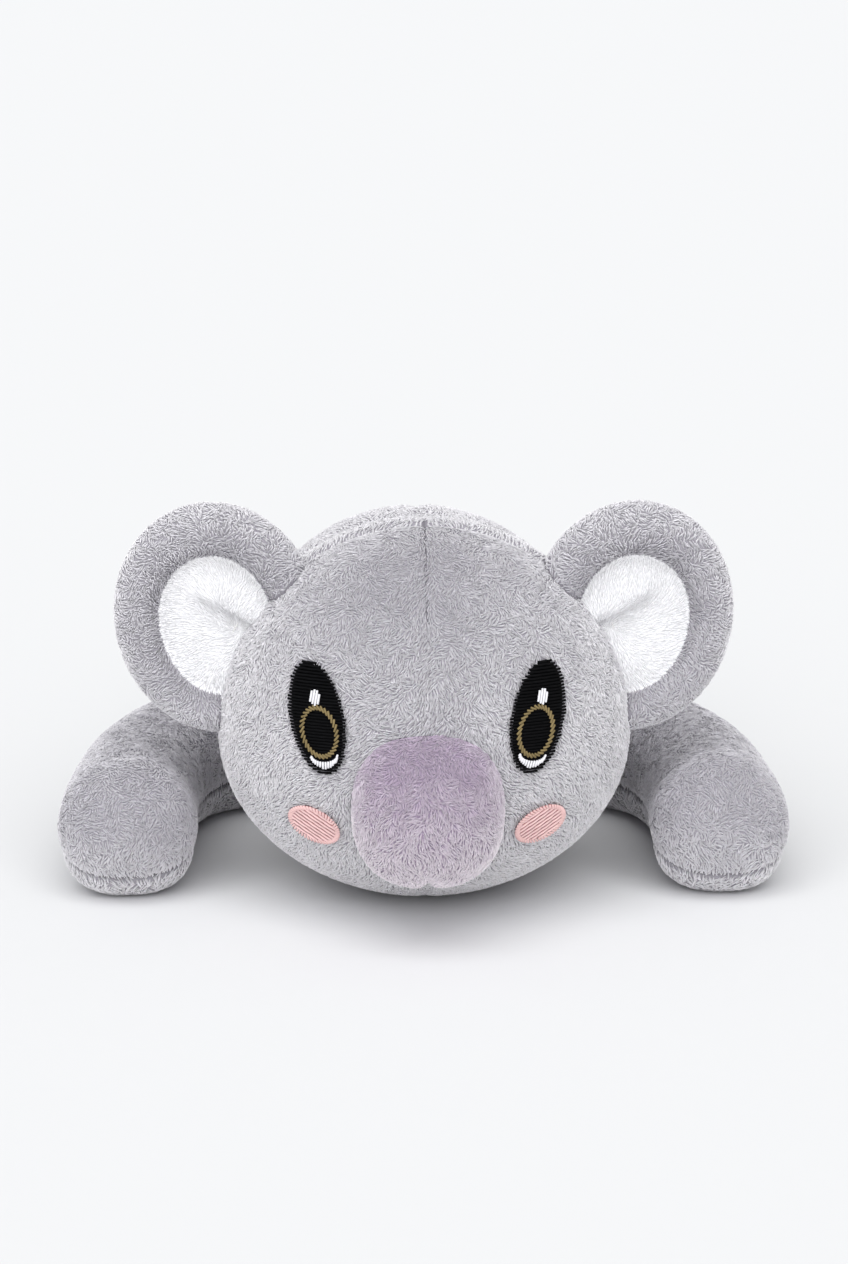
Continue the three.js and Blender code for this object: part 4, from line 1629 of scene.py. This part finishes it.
def fold(local, side):
    """The crease of an ear's lining, which runs from above its middle down to the head"""
    start, finish = (np.array([side * across, up]) for across, up in (FOLD["start"], FOLD["end"]))
    way = (finish - start) / np.linalg.norm(finish - start)
    square = np.array([-way[1], way[0]]) * -side
    flat = local[:, (0, 2)] - start
    along = flat @ way
    above = flat @ square
    fade = eased(ramp(along, -3.15 * MM, 5.85 * MM))
    inner = ramp(np.hypot(local[:, 0], local[:, 2]), EAR_LINING + 3 * MM, EAR_LINING - 2 * MM)
    over = 0.5 + 0.5 * np.tanh(above / FOLD["edge"])
    lobe = FOLD["lobe"] * np.exp(-(above / FOLD["lobe_width"]) ** 2) * over
    valley = FOLD["valley"] * np.exp(-(above / FOLD["valley_width"]) ** 2) * (1 - over)
    return fade * inner * (lobe - valley)


def ear_bare(points):
    return within(HEAD, points, 1.0)


def lining_bare(points):
    return within(HEAD, points, LINING_UNDER_HEAD)


def ear_form(ear, end):
    """The whole ear, with the crease of its lining"""
    cloth = settings().cloth
    rows = ear.rows(EAR_FULLER, EAR["cup"], EAR["back"] + EAR_FULLER, cloth.grid * EAR_GRID)
    form = stuffed(trim(grid_form(rows), HEAD, cloth.sink), f"ear_{end}", ear.lining_edge, ear.furrow)
    local = ear.local(corners_of(form))
    local[:, 1] += fold(local, ear.side) * ramp(local[:, 1], -1 * MM, 1 * MM)
    move_corners(form, ear.put(local))
    return form


def build_ears():
    for side, end in SIDES:
        ear = Ear(side)
        form = ear_form(ear, end)
        moves = at_ear(ear, end)
        cut = ((tuple(ear.middle), tuple(ear.axes[:, 1])),)
        rim, back, lining = (panel(form, cut, keep) for keep in (ear.on_rim, ear.on_back, ear.in_lining))
        sew(f"ear_rim_{end}", rim, "body", moves, ear.rim_flow, ear_bare, ear.pale, ear.rim_calm)
        sew(f"ear_back_{end}", back, "body", moves, ear.rim_flow, ear_bare, ear.pale)
        sew(f"ear_lining_{end}", lining, "lining", moves, ear.lining_flow, lining_bare)


# Torso


def from_spine(points):
    """Distance from the seam along the back"""
    return np.where(points[:, 2] > BELLY_SEAM, np.abs(points[:, 0]), FAR)


def from_belly(points):
    """Distance from the seam round the belly"""
    return np.abs(points[:, 2] - BELLY_SEAM)


def torso_furrow(points):
    return np.maximum(groove(from_belly(points), "belly"), groove(from_spine(points), "spine"))


def torso_bare(points):
    """No pile grows under the head and the limbs, or in the seams"""
    hidden = np.maximum(within(HEAD, points, TORSO_UNDER_HEAD), BARE_BELLY - from_belly(points) / MM)
    hidden = np.maximum(hidden, BARE_SPINE - from_spine(points) / MM)
    for _, size in LIMBS:
        for side, _ in SIDES:
            hidden = np.maximum(hidden, Limb(size, side).covers(points))
    return hidden


def torso_flow(points):
    return swirled(points, TORSO.outward(points), BACK_AND_DOWN["torso"], "torso")


def torso_tone_and_painted_light(points):
    """Paler at the top"""
    return np.clip(0.42 + points[:, 2] / (250 * MM) + blotches(points, "torso"), 0, 1)


def build_torso():
    cloth = settings().cloth
    bm = trim(egg_form(TORSO.grown(-cloth.under - cloth.swell), cloth.grid), HEAD, cloth.sink)
    form = stuffed(bm, "torso", from_belly, torso_furrow)
    cuts = (((0, 0, BELLY_SEAM), (0, 0, 1)), MIDDLE_CUT)
    for side, end in SIDES:
        upper = panel(form, cuts, lambda m, side=side: (m[:, 2] > BELLY_SEAM) & (m[:, 0] * side > 0))
        sew(f"back_{end}", upper, "rear", at_neck, torso_flow, torso_bare, torso_tone_and_painted_light)
    lower = panel(form, cuts, lambda m: m[:, 2] < BELLY_SEAM)
    sew("belly", lower, "rear", at_neck, torso_flow, torso_bare, torso_tone_and_painted_light)


# Arms and legs


def limb_tone_and_painted_light(points):
    """Paler low down"""
    low = ramp(points[:, 2], 26 * MM, 6 * MM)
    return np.clip(0.8 * low + blotches(points, "limb"), 0, 1)


def draw_in(mesh, limb):
    """Sets a limb's lower panel back under the upper one, most near the seam"""
    points = corners_of(mesh)
    inset = LOWER_INSET * ramp(limb.above_seam(points), -9.6 * MM, -1.6 * MM)
    points -= normals_of(mesh) * inset[:, None]
    points[:, 2] = np.maximum(points[:, 2], FLOOR_GAP)
    move_corners(mesh, points)


def build_limbs(name, size):
    cloth = settings().cloth
    fine = "body" if size is ARM else "rear"
    # The limbs' lower panels are painted paler still, as painted light
    pale = painted_lighter(limb_tone_and_painted_light, 0.25)
    for side, end in SIDES:
        limb = Limb(size, side)
        bm = trim(grid_form(limb.rows(-0.3 * cloth.under, cloth.grid)), TORSO, cloth.sink)
        form = stuffed(bm, f"{name}_{end}", limb.from_seam, limb.furrow)
        known, normals = corners_of(form), normals_of(form)

        def flow(points, limb=limb, known=known, normals=normals):
            """Along the limb, and down over the seam beside it"""
            near = [int(np.argmin(((known - p) ** 2).sum(axis=1))) for p in points]
            comb = limb.near_seam(points)[:, None]
            return swirled(points, normals[near], limb.flow(points) * (1 - comb) + DOWN * comb, "limb")

        top = panel(form, limb.seam(), lambda m, limb=limb: limb.above_seam(m) > 0)
        bottom = panel(form, limb.seam(), lambda m, limb=limb: limb.above_seam(m) < 0)
        draw_in(bottom, limb)
        moves = at_limb(limb, f"{name}_{end}")
        sew(f"{name}_top_{end}", top, fine, moves, flow, limb.bare, limb_tone_and_painted_light, limb.calm)
        sew(f"{name}_bottom_{end}", bottom, "rear", moves, flow, limb.bare, pale, limb.calm)


# Stuffing


def wadding_form(ear, grid):
    """The thin filling of an ear, which stays thin where it reaches the head"""
    back, front = WADDING["back"], WADDING["front"]
    form = grid_form(ear.rows(-WADDING["inset"], front, -back, grid))
    for corner in form.verts:
        if HEAD.depth(np.array(corner.co)) < WADDING["near_head"]:
            across, out, up = ear.local(np.array(corner.co))
            corner.co = ear.put((across, min(max(out, back), front), up))
    return form


def stuffing_forms():
    """Each filling's node and form, with the egg that it stops at, the way it is pressed and how it moves"""
    cloth = settings().cloth
    deep = -cloth.under - cloth.swell - cloth.thickness - 0.5 * cloth.lumps - STUFFING_GAP
    grid = cloth.grid
    fine = grid * FINE_GRID
    forms = [
        ("head_stuffing", egg_form(HEAD.grown(deep), grid), None, None, with_head),
        ("nose_stuffing", egg_form(NOSE.grown(deep), fine), HEAD, (0, -1, 0), with_head),
        ("body_stuffing", egg_form(TORSO.grown(deep), grid), HEAD, (0, 1, 0), at_neck),
    ]
    for side, end in SIDES:
        ear = Ear(side)
        forms.append((f"ear_wadding_{end}", wadding_form(ear, fine), HEAD, ear.along, at_ear(ear, end)))
        for name, size in LIMBS:
            limb = Limb(size, side)
            form, moves = grid_form(limb.rows(deep, grid)), at_limb(limb, f"{name}_{end}")
            forms.append((f"{name}_stuffing_{end}", form, TORSO, (side, 0, 0), moves))
    return forms


def build_stuffing():
    """Loose fibre, a little lumpy, inside each stuffed part"""
    lumps = settings().cloth.lumps
    material = fibre_material("stuffing", tuple(settings().colours.stuffing))
    for node, bm, egg, way, moves in stuffing_forms():
        if egg is not None:
            clip(bm, egg, STUFFING_CLEAR, way)
        mesh = mesh_from(bm)
        points = corners_of(mesh)
        height = lumps * (WADDING["lumps"] if "wadding" in node else 1)
        points += normals_of(mesh) * (wander(points, LUMP_SIZE, LUMP_SEED) * height)[:, None]
        points[:, 2] = np.maximum(points[:, 2], FIBRE_GAP)
        move_corners(mesh, points)
        mesh.materials.append(material)
        piece = place(f"{node}_fibre", mesh)
        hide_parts(node)
        moves(piece)


# Embroidery


def turned(oval, across, up):
    """A place in a leaning oval, from its own axes to the view from the front"""
    cx, cup, _, _, lean = oval
    x = cx + across * math.cos(lean) - up * math.sin(lean)
    return x, cup + across * math.sin(lean) + up * math.cos(lean)


class Stitches:
    """Threads on the face, collected as lines"""

    def __init__(self, seed):
        self.points = []
        self.edges = []
        self.random = np.random.default_rng(seed)

    def add(self, start, end, out, rise, steps=5):
        """One stitch between two places in the view from the front, over its padding"""
        first = len(self.points)
        for i in range(steps + 1):
            share = i / steps
            x = start[0] + (end[0] - start[0]) * share
            up = start[1] + (end[1] - start[1]) * share
            lift = out + rise * math.sin(math.pi * share)
            self.points.append(HEAD.front(np.array(x), np.array(up), lift))
        self.edges += [(first + i, first + i + 1) for i in range(steps)]

    def mesh(self):
        mesh = bpy.data.meshes.new("stitches")
        mesh.from_pydata([tuple(p) for p in self.points], self.edges, [])
        return mesh

    def ragged(self):
        return self.random.uniform(-1, 1) * settings().thread.ragged


def chord(oval, way, middle):
    """From where to where a line through a place crosses an oval, on the oval's own axes"""
    _, _, a, b, _ = oval
    qa = (way[0] / a) ** 2 + (way[1] / b) ** 2
    qb = 2 * (middle[0] * way[0] / a**2 + middle[1] * way[1] / b**2)
    qc = (middle[0] / a) ** 2 + (middle[1] / b) ** 2 - 1
    inside = qb * qb - 4 * qa * qc
    if inside <= 0:
        return None
    return (-qb - math.sqrt(inside)) / (2 * qa), (-qb + math.sqrt(inside)) / (2 * qa)


def brick_marks(stitches, row, low, high):
    """Where the stitches of a row meet, a third of a stitch further on in each row"""
    step = settings().thread.length
    marks = []
    at = math.floor(low / step) * step + (row % 3) / 3 * step
    while at < high - step * SHORTEST_STITCH:
        if at > low + step * SHORTEST_STITCH:
            marks.append(at + stitches.ragged())
        at += step
    return marks


def fill_oval(stitches, oval, slant, out, split=True, spacing=1.0):
    """Rows of stitches across an oval, each row broken like bricks in a wall"""
    thread = settings().thread
    way = np.array([math.cos(slant), math.sin(slant)])
    square = np.array([-way[1], way[0]])
    reach = math.hypot(oval[2] * square[0], oval[3] * square[1])
    rows = int(2 * reach / thread.pitch / spacing)
    for row in range(rows + 1):
        middle = square * (-reach + (row + 0.5) * 2 * reach / (rows + 1))
        ends = chord(oval, way, middle)
        if ends is None:
            continue
        low = ends[0] - abs(stitches.ragged())
        high = ends[1] + abs(stitches.ragged())
        marks = [low, *(brick_marks(stitches, row, low, high) if split else ()), high]
        for start, end in zip(marks, marks[1:]):
            p = turned(oval, *(middle + way * start))
            q = turned(oval, *(middle + way * end))
            stitches.add(p, q, out, thread.rise)


def band_stitches(stitches, outer, inner, out, slant, spacing=1.0):
    """Short slanting stitches across the band between two ovals of one middle"""
    thread = settings().thread
    _, _, a, b, _ = outer
    round_it = math.pi * (3 * (a + b) - math.sqrt((3 * a + b) * (a + 3 * b)))
    count = round(round_it / thread.pitch / spacing)
    for i in range(count):
        angle = 2 * math.pi * i / count
        low = turned(inner, inner[2] * math.cos(angle), inner[3] * math.sin(angle))
        high = turned(outer, outer[2] * math.cos(angle + slant), outer[3] * math.sin(angle + slant))
        stitches.add(low, high, out, thread.rise, SHORT_STEPS)


def pad(oval, low, high, grid=1.2 * MM):
    """The padding under a stitched oval: a closed sheet that follows the face, rounded off at its edge"""
    bm = bmesh.new()
    rings = max(2, round(max(oval[2], oval[3]) / grid))
    layers = []
    for out in (low, high):
        middle = turned(oval, 0, 0)
        layer = [[bm.verts.new(HEAD.front(np.array(middle[0]), np.array(middle[1]), out))]]
        for ring in range(1, rings + 1):
            share = ring / rings
            drop = (high - low) * share**6 * 0.7 if out == high else 0
            row = []
            for k in range(PAD_SIDES):
                angle = 2 * math.pi * k / PAD_SIDES
                x, up = turned(oval, oval[2] * share * math.cos(angle), oval[3] * share * math.sin(angle))
                row.append(bm.verts.new(HEAD.front(np.array(x), np.array(up), out - drop)))
            layer.append(row)
        layers.append(layer)
    for k in range(PAD_SIDES):
        after = (k + 1) % PAD_SIDES
        for layer in layers:
            bm.faces.new((layer[0][0], layer[1][k], layer[1][after]))
            for ring, following in zip(layer[1:], layer[2:]):
                bm.faces.new((ring[k], following[k], following[after], ring[after]))
        under, over = layers[0][-1], layers[1][-1]
        bm.faces.new((under[k], over[k], over[after], under[after]))
    bmesh.ops.recalc_face_normals(bm, faces=bm.faces[:])
    return bm


def embroider(node, layers, padding, materials):
    """A stitched shape: its layers of threads and, in the last material, the padding under them"""
    tree = bpy.data.node_groups.get("Threads") or thread_tree()
    bm = padding or bmesh.new()
    for face in bm.faces:
        face.material_index = len(materials) - 1
    inputs = {"Thickness": settings().thread.thickness, "Sides": 6, "Seed": 5, "Material": materials[0]}
    for index, stitches in enumerate(layers):
        threads = run_tree(tree, f"{node}_threads", stitches.mesh(), inputs)
        known = len(bm.faces)
        bm.from_mesh(threads.data)
        for face in bm.faces[:][known:]:
            face.material_index = index
        discard(threads)
    mesh = mesh_from(bm)
    for material in materials:
        mesh.materials.append(material)
    piece = place(f"{node}_stitches", mesh)
    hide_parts(node)
    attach(piece, "head")


def stitch_eye(side, end, black):
    """Satin stitch over a padded oval"""
    stitches = Stitches(seed=21)
    fill_oval(stitches, eye_oval(side), EYE["slant"] * side, EYE["over"])
    padding = pad(eye_oval(side, -EYE["pad_inset"]), PAD_LOW, EYE["pad"])
    embroider(f"eye_{end}", [stitches], padding, [black])


def stitch_iris(side, end, gold):
    """A ring round the pupil"""
    eye = eye_oval(side)
    middle = turned(eye, 0, -IRIS["down"])
    outer = (*middle, IRIS["half_width"], IRIS["half_height"], eye[4])
    inner = (*middle, IRIS["half_width"] - IRIS["thread"], IRIS["half_height"] - IRIS["thread"], eye[4])
    stitches = Stitches(seed=22)
    band_stitches(stitches, outer, inner, IRIS["over"], slant=0.26, spacing=1.5)
    embroider(f"iris_{end}", [stitches], None, [gold])


def stitch_glint(side, end, snow):
    """A small white oval over the pupil"""
    middle = turned(eye_oval(side), GLINT["out"], GLINT["up"])
    glint = (*middle, GLINT["half_width"], GLINT["half_height"], 0)
    stitches = Stitches(seed=23)
    fill_oval(stitches, glint, GLINT["slant"], GLINT["over"], split=False)
    padding = pad(glint, GLINT["pad_low"], GLINT["pad"], GLINT["pad_grid"])
    embroider(f"glint_{end}", [stitches], padding, [snow])


def stitch_crescent(side, end, snow):
    """A thin white arc under the pupil"""
    eye = eye_oval(side)
    thread = settings().thread
    stitches = Stitches(seed=24)
    count = round(math.pi * CRESCENT["half_width"] / thread.pitch)
    for i in range(count + 1):
        angle = math.pi * (0.04 + 0.92 * i / count)
        across = -math.cos(angle) * CRESCENT["half_width"]
        low = -CRESCENT["down"] - math.sin(angle) * CRESCENT["half_height"]
        high = -CRESCENT["down"] - math.sin(angle) * (CRESCENT["half_height"] - CRESCENT["thick"])
        p = turned(eye, across, low - abs(stitches.ragged()))
        q = turned(eye, across + CRESCENT["shift"], high)
        stitches.add(p, q, CRESCENT["over"], thread.rise, SHORT_STEPS)
    embroider(f"crescent_{end}", [stitches], None, [snow])


def build_eyes():
    c = settings().colours
    black = thread_material("black_thread", tuple(c.black), vary=0.3, shine=0.01)
    gold = thread_material("gold_thread", tuple(c.gold), vary=0.25)
    snow = thread_material("white_thread", tuple(c.snow), vary=0.05)
    for side, end in SIDES:
        stitch_eye(side, end, black)
        stitch_iris(side, end, gold)
        stitch_glint(side, end, snow)
        stitch_crescent(side, end, snow)


def build_cheeks():
    """Pink stitches over a padded oval, with a paler border round them"""
    c = settings().colours
    pink = thread_material("pink_thread", tuple(c.pink), vary=0.16)
    pale = thread_material("pale_pink_thread", tuple(c.pink_pale), vary=0.05)
    deep = thread_material("pink_ground_painted_shade", tuple(c.pink_painted_shade), vary=0.1)
    # The cloth under the threads is darkened as painted shade between them
    for side, end in SIDES:
        inner = cheek_oval(side, -CHEEK["border"])
        filling, border = Stitches(seed=31), Stitches(seed=32)
        fill_oval(filling, inner, CHEEK["slant"] * side, CHEEK["over"], spacing=1.15)
        band_stitches(border, cheek_oval(side), inner, CHEEK["border_over"], slant=0.1)
        padding = pad(cheek_oval(side, -CHEEK["pad_inset"]), PAD_LOW, CHEEK["pad"])
        embroider(f"cheek_{end}", [filling, border], padding, [pink, pale, deep])


# Stage


def add_floor():
    s = settings()
    far = s.stage.reach
    mesh = bpy.data.meshes.new("floor")
    corners = [(-far, -far, 0), (far, -far, 0), (far, far, 0), (-far, far, 0)]
    mesh.from_pydata(corners, [], [(0, 1, 2, 3)])
    mesh.materials.append(floor_material(tuple(s.colours.floor), tuple(s.colours.floor_light)))
    floor = place("floor", mesh)


def add_light():
    """Even light from all round, and a large soft lamp before the toy"""
    s = settings().stage
    world = bpy.data.worlds.new("studio")
    world.use_nodes = True
    sky = world.node_tree.nodes["Background"]
    sky.inputs["Color"].default_value = (1, 1, 1, 1)
    sky.inputs["Strength"].default_value = s.sky
    bpy.context.scene.world = world

    lamp_data = bpy.data.lights.new("overhead", "SUN")
    lamp_data.energy = s.lamp
    lamp_data.angle = s.lamp_size
    lamp = bpy.data.objects.new("overhead", lamp_data)
    lamp.rotation_euler = LAMP_PLACE.to_track_quat("Z", "Y").to_euler()
    bpy.context.scene.collection.objects.link(lamp)


def add_camera():
    s = settings().stage
    target = Vector(HEAD.middle) + Vector((0, 0.5 * MM, 0))
    flat = math.cos(s.elevation)
    direction = Vector((math.sin(s.azimuth) * flat, math.cos(s.azimuth) * flat, -math.sin(s.elevation)))
    camera_data = bpy.data.cameras.new("camera")
    camera_data.sensor_width = 36
    camera_data.sensor_fit = "HORIZONTAL"
    camera_data.lens = s.lens
    camera_data.clip_start = 0.01
    camera_data.clip_end = 100
    camera = bpy.data.objects.new("camera", camera_data)
    camera.location = target - direction * s.distance
    aim = direction.to_track_quat("-Z", "Y") @ Quaternion((1, 0, 0), s.tilt)
    camera.rotation_euler = aim.to_euler()
    bpy.context.scene.collection.objects.link(camera)
    bpy.context.scene.camera = camera


def build_stage():
    add_floor()
    add_light()
    add_camera()
    bpy.context.scene.view_settings.view_transform = "Standard"


# Operators, one for each group of pieces


class KOALA_OT_stage(bpy.types.Operator):
    """Floor, light and camera"""

    bl_idname = "koala.stage"
    bl_label = "Stage"
    bl_options = {"REGISTER", "UNDO"}

    def execute(self, context):
        build_stage()
        return {"FINISHED"}


class KOALA_OT_head(bpy.types.Operator):
    """The four plush panels of the head"""

    bl_idname = "koala.head"
    bl_label = "Head"
    bl_options = {"REGISTER", "UNDO"}

    def execute(self, context):
        build_head()
        return {"FINISHED"}


class KOALA_OT_nose(bpy.types.Operator):
    """The domed nose panel"""

    bl_idname = "koala.nose"
    bl_label = "Nose"
    bl_options = {"REGISTER", "UNDO"}

    def execute(self, context):
        build_nose()
        return {"FINISHED"}


class KOALA_OT_ears(bpy.types.Operator):
    """Rims, backs and linings of both ears"""

    bl_idname = "koala.ears"
    bl_label = "Ears"
    bl_options = {"REGISTER", "UNDO"}

    def execute(self, context):
        build_ears()
        return {"FINISHED"}


class KOALA_OT_torso(bpy.types.Operator):
    """The back panels and the belly"""

    bl_idname = "koala.torso"
    bl_label = "Torso"
    bl_options = {"REGISTER", "UNDO"}

    def execute(self, context):
        build_torso()
        return {"FINISHED"}


class KOALA_OT_arms(bpy.types.Operator):
    """Upper and lower panels of both arms"""

    bl_idname = "koala.arms"
    bl_label = "Arms"
    bl_options = {"REGISTER", "UNDO"}

    def execute(self, context):
        build_limbs("arm", ARM)
        return {"FINISHED"}


class KOALA_OT_legs(bpy.types.Operator):
    """Upper and lower panels of both legs"""

    bl_idname = "koala.legs"
    bl_label = "Legs"
    bl_options = {"REGISTER", "UNDO"}

    def execute(self, context):
        build_limbs("leg", LEG)
        return {"FINISHED"}


class KOALA_OT_stuffing(bpy.types.Operator):
    """The fibre inside every stuffed part"""

    bl_idname = "koala.stuffing"
    bl_label = "Stuffing"
    bl_options = {"REGISTER", "UNDO"}

    def execute(self, context):
        build_stuffing()
        return {"FINISHED"}


class KOALA_OT_eyes(bpy.types.Operator):
    """The stitched eyes"""

    bl_idname = "koala.eyes"
    bl_label = "Eyes"
    bl_options = {"REGISTER", "UNDO"}

    def execute(self, context):
        build_eyes()
        return {"FINISHED"}


class KOALA_OT_cheeks(bpy.types.Operator):
    """The stitched cheeks"""

    bl_idname = "koala.cheeks"
    bl_label = "Cheeks"
    bl_options = {"REGISTER", "UNDO"}

    def execute(self, context):
        build_cheeks()
        return {"FINISHED"}


OPERATORS = (
    KOALA_OT_stage, KOALA_OT_head, KOALA_OT_nose, KOALA_OT_ears, KOALA_OT_torso, KOALA_OT_arms,
    KOALA_OT_legs, KOALA_OT_stuffing, KOALA_OT_eyes, KOALA_OT_cheeks,
)


class KOALA_PT_panel(bpy.types.Panel):
    """Lists the koala's pieces"""

    bl_idname = "KOALA_PT_panel"
    bl_label = "Koala"
    bl_space_type = "VIEW_3D"
    bl_region_type = "UI"
    bl_category = "Koala"

    def draw(self, context):
        for operator in OPERATORS:
            self.layout.operator(operator.bl_idname)


CLASSES = (
    ClothSettings, BodyPile, FacePile, RearPile, NosePile, LiningPile, ColourSettings, ThreadSettings,
    StageSettings, KoalaSettings, *OPERATORS, KOALA_PT_panel,
)


def register():
    for cls in CLASSES:
        bpy.utils.register_class(cls)
    bpy.types.Scene.koala = group(KoalaSettings, "Koala", "All sizes and colours of the koala")


def unregister():
    del bpy.types.Scene.koala
    for cls in reversed(CLASSES):
        bpy.utils.unregister_class(cls)


def main():
    register()
    bpy.ops.koala.stage()
    bpy.ops.koala.head()
    bpy.ops.koala.nose()
    bpy.ops.koala.ears()
    bpy.ops.koala.torso()
    bpy.ops.koala.arms()
    bpy.ops.koala.legs()
    bpy.ops.koala.stuffing()
    bpy.ops.koala.eyes()
    bpy.ops.koala.cheeks()


if __name__ == "__main__":
    main()
